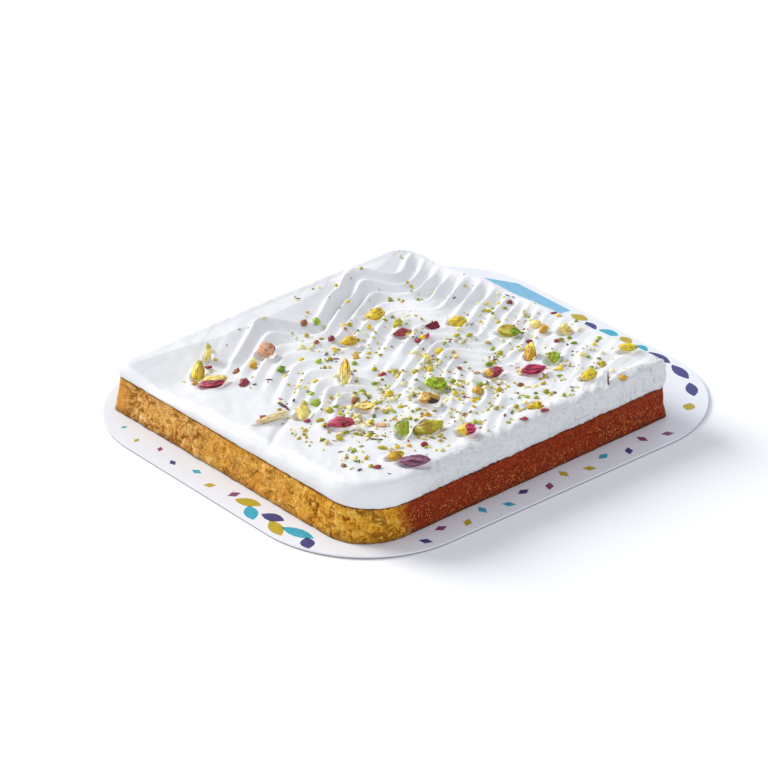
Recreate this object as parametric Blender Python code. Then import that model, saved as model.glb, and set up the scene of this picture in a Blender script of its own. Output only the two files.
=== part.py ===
"""A slab of basbousa on its card board: a semolina cake with a browned crust, a thick layer of
combed whipped cream, and chopped pistachios scattered over it. The golden face looks along -Y and
the browned one along +X. The origin is under the middle of the board. Sizes below are millimetres."""

from math import cos, hypot, pi, radians, sin

import bmesh
import bpy
import numpy as np
from mathutils import Matrix, Vector
from mathutils.bvhtree import BVHTree

MM = 0.001
GAP = 0.3

# Board
BOARD_X = 270.0
BOARD_Y = 314.0
BOARD_T = 1.8
BOARD_CORNER = 71.5
BOARD_CORNER_STEPS = 18

# Slab: the corners of the line between cake and cream, seen from above, and their radii
SLAB = {"left": (-105.5, -132.0), "near": (116.0, -129.5), "right": (112.0, 103.0), "back": (-106.5, 90.5)}
CORNER_RADIUS = {"left": 3.0, "near": 29.0, "right": 4.0, "back": 18.0}
HALF_X = 110.0
HALF_Y = 114.0
CAKE_BOTTOM = BOARD_T + GAP
CAKE_TOP = 23.1
CREAM_BOTTOM = CAKE_TOP + GAP
CREAM_TOP = {"left": 29.0, "near": 39.3, "right": 38.6, "back": 34.0}

# Cake sides: how far the foot spreads, and how deep the crumb is, on each side
FLARE = {"front": 4.5, "back": 3.0, "left": 2.5, "right": 1.0}
CRUMB_DEPTH = 1.0
CRUST_DEPTH = 0.45
CRUMB_SIZE = 6.5
SIDE_STEP = 5.2
SIDE_ROWS = 5

# Cream comb: one wandering stroke from back to front, as (y, how far it has moved along x)
COMB_TURNS = ((110, -30), (58, 0), (36, -22), (-16, 15), (-45, -10), (-97, 28), (-140, 38))
COMB_SLANT = 0.22
COMB_SPREAD = 0.35
COMB_ROUND = 5.0
RIDGE_PITCH = 13.2
RIDGE_HEIGHT = 3.6
FALL_SHARE = 0.66
CREST_ROUND = 0.008
GROOVE_CURVE = 1.45
FIRST_RIDGE = -79.0

# Spots where the comb skipped or dug in: x, y, reach along x and y, how much of the ridges is there
SPOTS = (
    (-1, -14, 18, 14, 0.05),
    (-68, -106, 28, 20, 0.35),
    (93, 36, 24, 26, 0.15),
    (62, 40, 16, 14, 0.4),
    (88, -70, 40, 22, 0.3),
    (-25, -30, 16, 16, 0.6),
    (112, -20, 30, 40, 0.35),
    (60, 84, 30, 16, 0.5),
    (-71, 10, 16, 18, 1.3),
    (-45, 66, 22, 22, 1.35),
    (20, 24, 14, 14, 1.3),
    (26, -57, 14, 14, 1.2),
)

# Cream edges: the rounding of each shoulder, the rim on the left with its inner edge as (y, x) and
# the dip beside it, the lower rim at the back, and the bulge of the walls
SHOULDER = {"front": 5.0, "back": 4.0, "left": 4.5, "right": 5.5}
LEFT_FRONT_SHOULDER = 2.5
BACK_RIGHT_SHOULDER = 3.2
RIM_EDGE = (
    (-132, -97), (-107, -95), (-87, -91), (-66, -87.5), (-41, -89), (-7, -89), (4, -92), (22, -98),
    (30, -94.5), (58, -93), (70, -98), (84, -103),
)
RIM_FALL = 28.0
RIM_HEIGHT = 3.6
RIM_DIP = 2.9
BACK_RIM = 2.0
WALL_BULGE = 0.9

# Creases in the smooth front of the cream: x, y of both ends, width, depth
CREASES = (
    (14, -103, 31, -127, 4.5, 1.3),
    (46, -115, 61, -103, 4.0, 0.8),
    (62, -116, 86, -107, 6.0, 0.6),
)

# Steps of the cream's grid: across and along the ridges, and down each shoulder and wall
ACROSS_STEP = 3.3
ALONG_STEP = 6.6
FOLLOW_FADE = 48.0
COMB_TREND = -0.2
EDGE_STEPS = (0.0, 1.4, 3.4, 6.4)
WALL_STEPS = (0.5, 1.0)
WALL_BAND = 0.05

# Large nut pieces: x, y, length, width, height, heading and pitch in degrees, kind, seed
NUTS = {
    "kernel_purple_front": (107, -87, 17.7, 9.0, 7.0, 48, 4, "kernel", 1),
    "half_orange_front": (95, -91, 10.5, 7.5, 5.0, 66, 8, "kernel", 2),
    "half_open_front": (82, -55, 18.0, 11.5, 7.5, 72, 6, "kernel", 3),
    "chunk_green_front": (75.5, -67.5, 15.0, 8.0, 7.5, 127, 18, "chunk", 4),
    "kernel_magenta_front": (100, -42, 12.0, 9.0, 7.0, 35, 8, "kernel", 5),
    "chopped_green": (46, -19, 18.5, 13.0, 7.5, 24, 0, "ragged", 6),
    "kernel_broken": (58, -34, 15.0, 8.0, 6.5, 33, 5, "chunk", 7),
    "flake_maroon": (45, -88, 18.0, 12.5, 4.5, 46, 8, "flake", 8),
    "chunk_pale_front": (20, -95, 12.5, 10.0, 7.0, 98, 10, "chunk", 9),
    "sliver_beige": (11, -110, 24.0, 5.5, 3.4, 84, 0, "sliver", 10),
    "half_open_left": (-48, -106, 18.0, 11.0, 7.0, 66, 8, "kernel", 11),
    "kernel_green_left": (-65, -104, 16.0, 7.5, 7.0, 131, 32, "kernel", 12),
    "sliver_green_left": (-76, -88, 13.0, 4.5, 4.5, 130, 38, "sliver", 13),
    "nut_round_left": (-55, -61, 11.0, 9.5, 9.0, 70, 0, "kernel", 14),
    "kernel_back_left": (-49, 17, 12.5, 10.0, 7.5, 59, 5, "kernel", 15),
    "kernel_upright_centre": (2, -49, 17.0, 6.5, 6.0, 140, 34, "kernel", 16),
    "chunk_yellow_left": (-29, -19, 12.5, 7.5, 6.0, 46, 6, "chunk", 17),
    "chunk_maroon_left": (-17, 11, 12.0, 8.0, 6.0, 53, 6, "chunk", 18),
    "bar_maroon": (-12.5, 31.5, 10.5, 6.5, 5.0, 40, 4, "chunk", 19),
    "kernel_green_centre": (-5.5, 44, 11.0, 9.5, 7.0, 47, 8, "kernel", 20),
    "kernel_green_back": (25, 57, 16.0, 9.0, 7.0, 23, 5, "kernel", 21),
    "kernel_upright_right": (53.5, 48.5, 13.5, 7.0, 6.5, 131, 28, "kernel", 22),
    "kernel_magenta_right": (71, 35, 14.0, 8.0, 6.5, 59, 5, "kernel", 23),
    "half_brown_right": (57, 17, 11.5, 8.0, 6.0, 61, 8, "kernel", 24),
    "chunk_green_right": (66.5, 54, 13.0, 9.0, 8.0, 120, 14, "ragged", 25),
    "chunk_yellow_back": (46, 84, 10.5, 8.5, 6.5, 86, 8, "chunk", 26),
    "kernel_olive_back": (90, 92, 12.0, 6.5, 5.0, 42, 4, "kernel", 27),
    "chunk_olive_right": (97, 55, 14.0, 8.0, 5.5, 92, 4, "chunk", 28),
    "chunk_star_right": (102, 8, 12.0, 9.0, 5.0, 48, 4, "ragged", 29),
    "shell_orange": (40, -65.5, 10.5, 9.0, 5.5, 47, 6, "half", 30),
}
NUT_SINK = 2.8
NUT_FACETS = 2

# Middle-sized bits with a place of their own: x, y, size
PLACED_BITS = (
    (92, -57, 7.5), (13, -80, 7.0), (10, -86, 5.5), (-35, -94, 8.0), (-33, -68, 6.0), (-50, -75, 6.0),
    (-52, -86, 5.5), (-28, 17, 8.0), (27, 77, 8.5), (36, 75, 7.0), (66, -4, 7.5), (60, 4, 6.0),
    (26, -81, 6.5), (27, -62, 7.0), (110, 69, 6.5), (-40, -24, 6.0), (-67, -13, 6.0), (-69, -21, 5.5),
    (16, 50, 6.0), (34, -43, 6.0), (13, 14, 7.0),
)
SCATTERED_BITS = 32
BIT_SMALLEST = 3.4
BIT_LARGEST = 5.6
BIT_CLEARANCE = 2.0
SCATTER_SEED = 7


def clear_scene():
    for old in list(bpy.data.objects):
        bpy.data.objects.remove(old, do_unlink=True)


def material(name, colour, roughness):
    made = bpy.data.materials.new(name)
    made.use_nodes = True
    shader = made.node_tree.nodes["Principled BSDF"]
    shader.inputs["Base Color"].default_value = (*colour, 1)
    shader.inputs["Roughness"].default_value = roughness
    return made


def add_object(name, points, faces, finish, smooth=True):
    """A named object from points in millimetres."""
    mesh = bpy.data.meshes.new(name)
    mesh.from_pydata([tuple(float(c) * MM for c in p) for p in points], [], faces)
    mesh.materials.append(finish)
    if smooth:
        mesh.shade_smooth()
    made = bpy.data.objects.new(name, mesh)
    bpy.context.collection.objects.link(made)
    return made


def smooth_step(low, high, value):
    t = np.clip((value - low) / (high - low), 0, 1)
    return t * t * (3 - 2 * t)


noise_tables = {}


def grain(x, y, z, size, seed=0):
    """Smooth noise from -1 to 1 at each point, with lumps of about the size given."""
    if seed not in noise_tables:
        noise_tables[seed] = np.random.default_rng(seed).uniform(-1, 1, (64, 64, 64))
    shape = np.broadcast(x, y, z).shape
    cell = np.stack([np.broadcast_to(c, shape).ravel() for c in (x, y, z)]) / size + 500.37
    low = np.floor(cell).astype(int)
    part = cell - low
    part = part * part * (3 - 2 * part)
    total = 0
    for step in np.ndindex(2, 2, 2):
        weight = np.prod([part[k] if step[k] else 1 - part[k] for k in range(3)], axis=0)
        total = total + weight * noise_tables[seed][tuple((low[k] + step[k]) % 64 for k in range(3))]
    return total.reshape(shape)


# Slab outline


def by_corner(values, u, v):
    """One value for each point of the square from -1 to 1, blended from the four corners."""
    right = (1 + u) / 2
    back = (1 + v) / 2
    front_row = values["left"] * (1 - right) + values["near"] * right
    back_row = values["back"] * (1 - right) + values["right"] * right
    return front_row * (1 - back) + back_row * back


def by_side(values, nx, ny):
    """One value for each outward direction, blended from the four sides."""
    return (
        values["right"] * np.maximum(nx, 0) ** 2
        + values["left"] * np.minimum(nx, 0) ** 2
        + values["back"] * np.maximum(ny, 0) ** 2
        + values["front"] * np.minimum(ny, 0) ** 2
    )


def slab_point(u, v):
    """Where a point of the square from -1 to 1 lies in the slab's rounded outline, and the outward
    direction there, which is whole on the outline and fades inside it."""
    front = v < 0
    left = u < 0
    radius = np.where(
        front,
        np.where(left, CORNER_RADIUS["left"], CORNER_RADIUS["near"]),
        np.where(left, CORNER_RADIUS["back"], CORNER_RADIUS["right"]),
    )
    zone_u = radius / HALF_X
    zone_v = radius / HALF_Y
    p = np.clip((np.abs(u) - 1 + zone_u) / zone_u, 0, 1)
    q = np.clip((np.abs(v) - 1 + zone_v) / zone_v, 0, 1)
    nx = p * np.sqrt(1 - q * q / 2)
    ny = q * np.sqrt(1 - p * p / 2)
    ru = np.sign(u) * np.where(p > 0, 1 - zone_u + zone_u * nx, np.abs(u))
    rv = np.sign(v) * np.where(q > 0, 1 - zone_v + zone_v * ny, np.abs(v))
    x = by_corner({name: corner[0] for name, corner in SLAB.items()}, ru, rv)
    y = by_corner({name: corner[1] for name, corner in SLAB.items()}, ru, rv)
    return x, y, np.sign(u) * nx, np.sign(v) * ny


def square_edge(steps_x, steps_y):
    """Points round the edge of the square from -1 to 1, counter-clockwise from the left front corner."""
    along_x = np.linspace(-1, 1, steps_x + 1)[:-1]
    along_y = np.linspace(-1, 1, steps_y + 1)[:-1]
    u = np.concatenate([along_x, np.ones(steps_y), -along_x, -np.ones(steps_y)])
    v = np.concatenate([-np.ones(steps_x), along_y, np.ones(steps_x), -along_y])
    return u, v


# Cream surface


def comb_shift(y):
    """How far the comb has moved along x at each y, with its turns rounded."""
    turns_y = [turn[0] for turn in reversed(COMB_TURNS)]
    turns_x = [turn[1] for turn in reversed(COMB_TURNS)]
    around = np.linspace(-COMB_ROUND, COMB_ROUND, 7)
    return np.mean([np.interp(y + step, turns_y, turns_x) for step in around], axis=0)


def comb_line(x, y):
    """Which tooth of the comb passed a point, as a distance from the middle tooth."""
    spread = 1 + COMB_SPREAD * smooth_step(-60, 60, x)
    return x - spread * comb_shift(y + COMB_SLANT * (x + 70))


def ridge_height(x, y):
    """The comb's ridges: round grooves between sharp crests, no two alike, from the first ridge on."""
    line = comb_line(x, y)
    loose = smooth_step(-10, 60, x)
    wander = 0.3 * (1 + loose) * grain(x, y, 0, 38, 3) + 0.13 * (1 + 2.6 * loose) * grain(x, y, 0, 15, 4)
    wander = wander + 0.3 * grain(line, 0, 0, 24, 10)
    phase = (line - FIRST_RIDGE) / RIDGE_PITCH + wander
    past = np.where(phase < 0, 1 + phase, phase % 1)
    away = np.where((past < FALL_SHARE) & (phase > 0), past / FALL_SHARE, (1 - past) / (1 - FALL_SHARE))
    away = np.sqrt(away**2 + CREST_ROUND)
    shape = np.maximum(1 - away, 0) ** GROOVE_CURVE - 0.3
    uneven = 0.9 + 0.4 * grain(x, y, 0, 27, 6) + 0.3 * grain(line, 0, 0, 11, 12)
    return RIDGE_HEIGHT * shape * uneven


def ridge_strength(x, y):
    """Full ridges on the left and the back, weaker ones on the right, and almost none in front."""
    strength = 1.05 - 0.3 * smooth_step(-10, 80, x)
    strength = strength * (0.04 + 0.96 * smooth_step(-102, -76, y - 0.3 * np.maximum(x, 0)))
    for spot_x, spot_y, reach_x, reach_y, share in SPOTS:
        near = np.exp(-(((x - spot_x) / reach_x) ** 2) - ((y - spot_y) / reach_y) ** 2)
        strength = strength * (1 + (share - 1) * near)
    torn = 0.7 * smooth_step(0, 60, x) * grain(x, y, 0, 12, 13)
    return strength * (0.95 + 0.6 * grain(x, y, 0, 24, 8) + torn)


def rim_height(x, y):
    """The raised rim along -X, which falls off to a dip before the first ridge."""
    edge = np.interp(y, *zip(*RIM_EDGE)) + 0.8 * grain(0, y, 0, 9, 5)
    fall = np.clip((x - edge) / RIM_FALL, 0, 1)
    return (RIM_HEIGHT + RIM_DIP) * (1 - fall) ** 1.2 - RIM_DIP * (1 - smooth_step(-66, -30, x))


def crease_depth(x, y):
    total = 0
    for x0, y0, x1, y1, width, depth in CREASES:
        length = hypot(x1 - x0, y1 - y0)
        ax = (x1 - x0) / length
        ay = (y1 - y0) / length
        along = (x - x0) * ax + (y - y0) * ay
        across = (x - x0) * ay - (y - y0) * ax
        past_end = np.maximum(np.maximum(-along, along - length), 0)
        total = total + depth * np.exp(-((across / width * 2) ** 2) - (past_end / width) ** 2)
    return total


def nut_press(x, y):
    """How far the nuts press the cream in, with a low lip round each, and where they flatten it."""
    dent = 0
    flat = 0
    for nut_x, nut_y, length, width, _, heading, _, _, _ in NUTS.values():
        c = cos(radians(heading))
        s = sin(radians(heading))
        along = ((x - nut_x) * c + (y - nut_y) * s) / (length / 2)
        across = ((y - nut_y) * c - (x - nut_x) * s) / (width / 2)
        reach = np.sqrt(along**2 + across**2)
        dent = dent + NUT_SINK * (1 - smooth_step(0.45, 1.2, reach))
        dent = dent - 0.7 * np.exp(-(((reach - 1.35) / 0.25) ** 2))
        flat = np.maximum(flat, 1 - smooth_step(0.9, 1.6, reach))
    return dent, flat


def cream_height(u, v, x, y):
    """The height of the cream's top surface."""
    rise = by_corner(CREAM_TOP, u, v)
    swell = 0.9 * grain(x, y, 0, 42, 9)
    to_x_edge = HALF_X * (1 - np.abs(u)) + 3.5 * (u > 0)
    to_y_edge = HALF_Y * (1 - np.abs(v))
    inside = smooth_step(0.5, 8, np.minimum(to_x_edge, to_y_edge))
    from_back = HALF_Y * (1 - v)
    back_rim = BACK_RIM * (1 - smooth_step(3, 18, from_back)) * smooth_step(-0.98, -0.75, u)
    back_rim = back_rim * (1 + 0.9 * np.exp(-(((u + 0.5) / 0.2) ** 2)) - 0.5 * smooth_step(0.85, 1, u))
    dent, flat = nut_press(x, y)
    ridges = ridge_height(x, y) * ridge_strength(x, y) * inside * (1 - 0.8 * flat)
    ridges = ridges * smooth_step(1, 16, from_back) + back_rim
    return rise + swell + rim_height(x, y) + ridges - crease_depth(x, y) - dent * inside


def shoulder_drop(u, v):
    """How far the rounded edge has fallen below the top."""
    right = SHOULDER["right"] + (BACK_RIGHT_SHOULDER - SHOULDER["right"]) * smooth_step(0.4, 0.95, v)
    radius_u = np.where(u < 0, SHOULDER["left"], right)
    front = LEFT_FRONT_SHOULDER + (SHOULDER["front"] - LEFT_FRONT_SHOULDER) * smooth_step(-0.9, 0.2, u)
    radius_v = np.where(v < 0, front, SHOULDER["back"])
    from_u = np.maximum(1 - HALF_X * (1 - np.abs(u)) / radius_u, 0)
    from_v = np.maximum(1 - HALF_Y * (1 - np.abs(v)) / radius_v, 0)
    _, _, nx, ny = slab_point(u, v)
    wide = (u > 0) != (v > 0)
    corner = np.where(u > 0, CORNER_RADIUS["near"], CORNER_RADIUS["back"])
    weight = np.where(wide, nx**2 + 1e-9, from_u + 1e-6)
    weight = weight / (weight + np.where(wide, ny**2 + 1e-9, from_v + 1e-6))
    radius = radius_u * weight + radius_v * (1 - weight)
    round_reach = 1 - corner * (1 - np.hypot(nx, ny)) / radius
    reach = np.clip(np.where(wide, round_reach, np.hypot(from_u, from_v)), 0, 1)
    return radius * (1 - np.sqrt(1 - reach * reach)) * 0.85


def cream_point(u, v):
    """The cream's surface over the square: its top inside 1, and its walls in the band beyond."""
    outer = np.maximum(np.maximum(np.abs(u), np.abs(v)), 1)
    down = (outer - 1) / WALL_BAND
    u = u / outer
    v = v / outer
    x, y, nx, ny = slab_point(u, v)
    top = cream_height(u, v, x, y) - shoulder_drop(u, v)
    z = top + (CREAM_BOTTOM - top) * down
    bulge = WALL_BULGE * np.sin(pi * np.clip(down * 0.85 + 0.15, 0, 1)) * (down > 0)
    return np.stack([x + nx * bulge, y + ny * bulge, z], -1)


def grid_lines(half, step):
    """Where the cream's grid lines cross the square: fine at the edges, even across the top."""
    inner = half - EDGE_STEPS[-1]
    count = round(2 * inner / step)
    top = np.linspace(-inner, inner, count + 1) / half
    shoulder = [1 - step / half for step in EDGE_STEPS[-2::-1]]
    wall = [1 + WALL_BAND * step for step in WALL_STEPS]
    side = np.array(shoulder + wall)
    return np.concatenate([-side[::-1], top, side])


def follow_comb(u, v):
    """Grid lines that sway with the ridges in the middle and run straight at the edges."""
    x = HALF_X * u
    y = HALF_Y * v
    sway = x - comb_line(x, y) - COMB_TREND * (y + COMB_SLANT * (x + 70))
    return u + sway * smooth_step(0, FOLLOW_FADE, HALF_X - np.abs(x)) / HALF_X


def cream_faces(points):
    """Two triangles for each cell, split along the diagonal that lies higher, so ridges stay whole."""
    rows, columns = points.shape[:2]
    index = np.arange(rows * columns).reshape(rows, columns)
    faces = []
    for i in range(rows - 1):
        for j in range(columns - 1):
            a, b, c, d = (int(index[k]) for k in ((i, j), (i + 1, j), (i + 1, j + 1), (i, j + 1)))
            one = points[i, j, 2] + points[i + 1, j + 1, 2]
            other = points[i + 1, j, 2] + points[i, j + 1, 2]
            if one >= other:
                faces += [(a, b, c), (a, c, d)]
            else:
                faces += [(a, b, d), (b, c, d)]
    rim = [int(k) for k in (*index[:, 0], *index[-1, 1:], *index[-2::-1, -1], *index[0, -2:0:-1])]
    faces.append(tuple(reversed(rim)))
    return faces


# Nut pieces


def nut_points(directions, length, width, height, kind, seed):
    """A nut piece from unit directions, lying along x: a pointed oval, split, broken or flaked."""
    dice = np.random.default_rng(seed)
    p = directions.copy()
    if kind in ("kernel", "half"):
        pointed = 1 - 0.28 * p[:, 0] ** 2
        p[:, 1:] *= pointed[:, None]
    if kind in ("kernel", "half", "chunk"):
        p *= 1 + 0.16 * grain(p[:, 0], p[:, 1], p[:, 2], 0.7, seed + 30)[:, None]
    if kind == "kernel":
        for _ in range(3):
            turn = dice.uniform(0, 2 * pi)
            normal = np.array([0.5 * cos(turn), 0.6 * sin(turn), 0.6])
            normal /= np.linalg.norm(normal)
            p -= np.maximum(p @ normal - dice.uniform(0.72, 0.85), 0)[:, None] * normal * 0.8
    if kind == "half":
        p[:, 2] = np.minimum(p[:, 2], 0.12 - 0.25 * (1 - p[:, 0] ** 2 - p[:, 1] ** 2))
        p[:, 2] += 0.3
    if kind in ("chunk", "ragged"):
        cuts = 5 if kind == "chunk" else 3
        for _ in range(cuts):
            turn = dice.uniform(0, 2 * pi)
            tilt = dice.uniform(-0.3, 0.9)
            normal = np.array([cos(turn) * cos(tilt), sin(turn) * cos(tilt), sin(tilt)])
            over = np.maximum(p @ normal - dice.uniform(0.45, 0.75), 0)
            p -= over[:, None] * normal
    if kind == "ragged":
        p *= 1 + 0.4 * grain(p[:, 0], p[:, 1], p[:, 2], 0.5, seed)[:, None]
    if kind == "flake":
        slim = np.maximum(np.abs(p[:, 0]) + np.abs(p[:, 1]), 1)
        p[:, :2] /= slim[:, None]
        p[:, 2] += 0.5 * (1 - p[:, 0] ** 2) - 0.4
    if kind == "sliver":
        p[:, 1] += 0.9 * (p[:, 0] ** 2 - 0.4)
        p[:, 1:] *= (1 - 0.45 * p[:, :1] ** 2)
    return p * np.array([length, width, height]) / 2


def unit_ball(facets):
    """The directions and faces of a ball of triangles."""
    ball = bmesh.new()
    bmesh.ops.create_icosphere(ball, subdivisions=facets, radius=1)
    directions = np.array([v.co[:] for v in ball.verts])
    faces = [tuple(v.index for v in face.verts) for face in ball.faces]
    ball.free()
    return directions, faces


def surface_under(tree, x, y):
    hit = tree.ray_cast(Vector((x, y, 100)), Vector((0, 0, -1)))[0]
    return hit.z if hit else CREAM_BOTTOM


def add_nut(name, spec, cream_tree, finish):
    """One large piece, let down on the cream until its lowest point is a gap away."""
    x, y, length, width, height, heading, pitch, kind, seed = spec
    directions, faces = unit_ball(NUT_FACETS)
    turn = Matrix.Rotation(radians(heading), 3, "Z") @ Matrix.Rotation(-radians(pitch), 3, "Y")
    points = nut_points(directions, length, width, height, kind, seed) @ np.array(turn).T
    points[:, :2] += (x, y)
    corners = np.array([points[list(face)] for face in faces])
    probes = np.concatenate([points, corners.mean(axis=1), (corners[:, 0] + corners[:, 1]) / 2])
    lift = max(surface_under(cream_tree, px, py) - pz for px, py, pz in probes)
    points[:, 2] += lift + GAP + 0.25
    return add_object(name, points, faces, finish)


# Chopped bits


def bit_density(x, y):
    """How thickly the bits lie: most in the middle and on the right, few on the left and in front."""
    right = np.exp(-(((x - 48) / 62) ** 2) - ((y - 5) / 85) ** 2)
    front = np.exp(-(((x - 40) / 45) ** 2) - ((y + 75) / 38) ** 2)
    return 0.06 + 0.75 * right + 0.5 * front


def clear_of_nuts(x, y, reach):
    return all(
        hypot(x - nut[0], y - nut[1]) > nut[2] / 2 + reach + BIT_CLEARANCE for nut in NUTS.values()
    )


def clear_of_slivers(x, y, reach):
    """Placed bits may lie beside a nut, so they keep clear of its oval and not of its circle."""
    for nut_x, nut_y, length, width, _, heading, _, _, _ in NUTS.values():
        c = cos(radians(heading))
        s = sin(radians(heading))
        along = ((x - nut_x) * c + (y - nut_y) * s) / (length / 2 + reach + GAP)
        across = ((y - nut_y) * c - (x - nut_x) * s) / (width / 2 + reach + GAP)
        if along**2 + across**2 < 1:
            return False
    return True


def bit_places():
    """x, y, size and seed of every bit that is fused to the cream."""
    places = [(x, y, size, k) for k, (x, y, size) in enumerate(PLACED_BITS)]
    places = [place for place in places if clear_of_slivers(place[0], place[1], place[2] * 0.6)]
    dice = np.random.default_rng(SCATTER_SEED)
    while len(places) < len(PLACED_BITS) + SCATTERED_BITS:
        x = dice.uniform(-92, 100)
        y = dice.uniform(-112, 92)
        size = dice.uniform(BIT_SMALLEST, BIT_LARGEST)
        if dice.uniform() > bit_density(x, y) or not clear_of_nuts(x, y, size / 2):
            continue
        if all(hypot(x - other[0], y - other[1]) > (size + other[2]) * 0.8 for other in places):
            places.append((x, y, size, len(places)))
    return places


def add_bits(cream_tree, finish):
    """The bits as closed pieces in a collection of their own, each sunk a third into the cream."""
    group = bpy.data.collections.new("bits")
    bpy.context.scene.collection.children.link(group)
    directions, faces = unit_ball(1)
    for x, y, size, seed in bit_places():
        dice = np.random.default_rng(100 + seed)
        stretch = np.array([size, size * dice.uniform(0.65, 0.95), size * dice.uniform(0.6, 0.85)]) / 2
        rough = 1 + dice.uniform(-0.18, 0.18, len(directions))
        turn = Matrix.Rotation(dice.uniform(0, 2 * pi), 3, "Z")
        turn = turn @ Matrix.Rotation(dice.uniform(-0.5, 0.5), 3, "Y")
        points = (directions * rough[:, None] * stretch) @ np.array(turn).T
        points += (x, y, surface_under(cream_tree, x, y) + stretch[2] * 0.35)
        bit = add_object("bit", points, faces, finish, smooth=False)
        bpy.context.collection.objects.unlink(bit)
        group.objects.link(bit)
    return group


def fuse(target, group):
    """Join every object of the collection to the target, then remove them."""
    join = target.modifiers.new("fuse", "BOOLEAN")
    join.operation = "UNION"
    join.operand_type = "COLLECTION"
    join.collection = group
    join.solver = "MANIFOLD"
    bpy.context.view_layer.update()
    shaped = bpy.data.meshes.new_from_object(target.evaluated_get(bpy.context.evaluated_depsgraph_get()))
    target.modifiers.clear()
    target.data = shaped
    for piece in list(group.objects):
        bpy.data.objects.remove(piece, do_unlink=True)
    bpy.data.collections.remove(group)


# Pieces


def make_board():
    """The card: a rounded rectangle with its underside on the ground."""
    points = []
    for side_x, side_y, start in ((1, 1, 0), (-1, 1, 90), (-1, -1, 180), (1, -1, 270)):
        for step in range(BOARD_CORNER_STEPS + 1):
            angle = radians(start + 90 * step / BOARD_CORNER_STEPS)
            x = side_x * (BOARD_X / 2 - BOARD_CORNER) + BOARD_CORNER * cos(angle)
            y = side_y * (BOARD_Y / 2 - BOARD_CORNER) + BOARD_CORNER * sin(angle)
            points.append((x, y))
    count = len(points)
    corners = [(x, y, 0) for x, y in points] + [(x, y, BOARD_T) for x, y in points]
    faces = [tuple(reversed(range(count))), tuple(range(count, 2 * count))]
    faces += [(k, (k + 1) % count, (k + 1) % count + count, k + count) for k in range(count)]
    add_object("board", corners, faces, material("card", (0.9, 0.91, 0.93), 0.6), smooth=False)


def make_cake():
    """The semolina slab: flat above and below, with a crumbly side that spreads at its foot."""
    u, v = square_edge(round(2 * HALF_X / SIDE_STEP), round(2 * HALF_Y / SIDE_STEP))
    x, y, nx, ny = slab_point(u, v)
    flare = by_side(FLARE, nx, ny)
    depth = CRUST_DEPTH + (CRUMB_DEPTH - CRUST_DEPTH) * np.minimum(ny, 0) ** 2
    rows = []
    for row in range(SIDE_ROWS + 1):
        rise = row / SIDE_ROWS
        z = CAKE_BOTTOM + (CAKE_TOP - CAKE_BOTTOM) * rise
        lumps = grain(x, y, z, CRUMB_SIZE, 1) + 0.6 * grain(x, y, z, CRUMB_SIZE * 3, 2)
        out = flare * (1 - rise) ** 1.4 + depth * lumps * (0.4 if row == SIDE_ROWS else 1) - 0.4
        rows.append(np.stack([x + nx * out, y + ny * out, np.full_like(x, z)], -1))
    count = len(u)
    points = np.concatenate(rows)
    faces = [tuple(reversed(range(count))), tuple(range(SIDE_ROWS * count, (SIDE_ROWS + 1) * count))]
    for row in range(SIDE_ROWS):
        low = row * count
        for k in range(count):
            after = (k + 1) % count
            faces.append((low + k, low + after, low + after + count, low + k + count))
    add_object("cake", points, faces, material("semolina", (0.42, 0.2, 0.07), 0.8))


def make_cream():
    """The whipped cream, combed from back to front, with the chopped bits fused on."""
    u, v = np.meshgrid(grid_lines(HALF_X, ACROSS_STEP), grid_lines(HALF_Y, ALONG_STEP), indexing="ij")
    points = cream_point(follow_comb(u, v), v)
    faces = cream_faces(points)
    flat = points.reshape(-1, 3)
    cream = add_object("cream", flat, faces, material("whipped cream", (0.93, 0.93, 0.95), 0.5))
    tree = BVHTree.FromPolygons([Vector(point) for point in flat], faces)
    fuse(cream, add_bits(tree, material("chopped pistachio", (0.55, 0.5, 0.1), 0.6)))
    return tree


def make_nuts(cream_tree):
    green = material("pistachio", (0.45, 0.5, 0.1), 0.5)
    skin = material("pistachio skin", (0.25, 0.05, 0.08), 0.5)
    for name, spec in NUTS.items():
        dark = any(word in name for word in ("purple", "magenta", "maroon", "brown", "round"))
        add_nut(name, spec, cream_tree, skin if dark else green)


clear_scene()
make_board()
make_cake()
make_nuts(make_cream())
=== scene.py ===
"""Looks of the basbousa: fine cream, crumb and crust in place of the plain solids, nuts with skin and
flesh, the crumbs between them and the board's print. Sizes are millimetres unless said otherwise."""

from math import cos, hypot, pi, radians, sin

import bmesh
import bpy
import numpy as np
from mathutils import Matrix, Vector
from mathutils.bvhtree import BVHTree


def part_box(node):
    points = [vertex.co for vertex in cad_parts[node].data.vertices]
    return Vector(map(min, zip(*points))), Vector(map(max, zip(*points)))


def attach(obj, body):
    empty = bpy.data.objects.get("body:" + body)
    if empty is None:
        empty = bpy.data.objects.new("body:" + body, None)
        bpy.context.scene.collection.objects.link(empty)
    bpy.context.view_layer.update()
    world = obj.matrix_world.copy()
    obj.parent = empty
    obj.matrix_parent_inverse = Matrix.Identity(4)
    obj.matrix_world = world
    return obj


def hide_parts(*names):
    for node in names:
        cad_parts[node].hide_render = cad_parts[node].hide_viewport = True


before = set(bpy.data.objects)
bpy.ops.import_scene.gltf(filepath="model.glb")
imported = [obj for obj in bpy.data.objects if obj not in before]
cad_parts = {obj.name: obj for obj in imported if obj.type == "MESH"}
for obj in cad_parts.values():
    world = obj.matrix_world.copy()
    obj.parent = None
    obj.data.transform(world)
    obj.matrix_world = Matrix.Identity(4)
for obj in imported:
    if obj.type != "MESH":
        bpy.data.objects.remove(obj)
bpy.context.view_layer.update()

MM = 0.001
PER_METRE = 1000
GAP = 0.3

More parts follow.
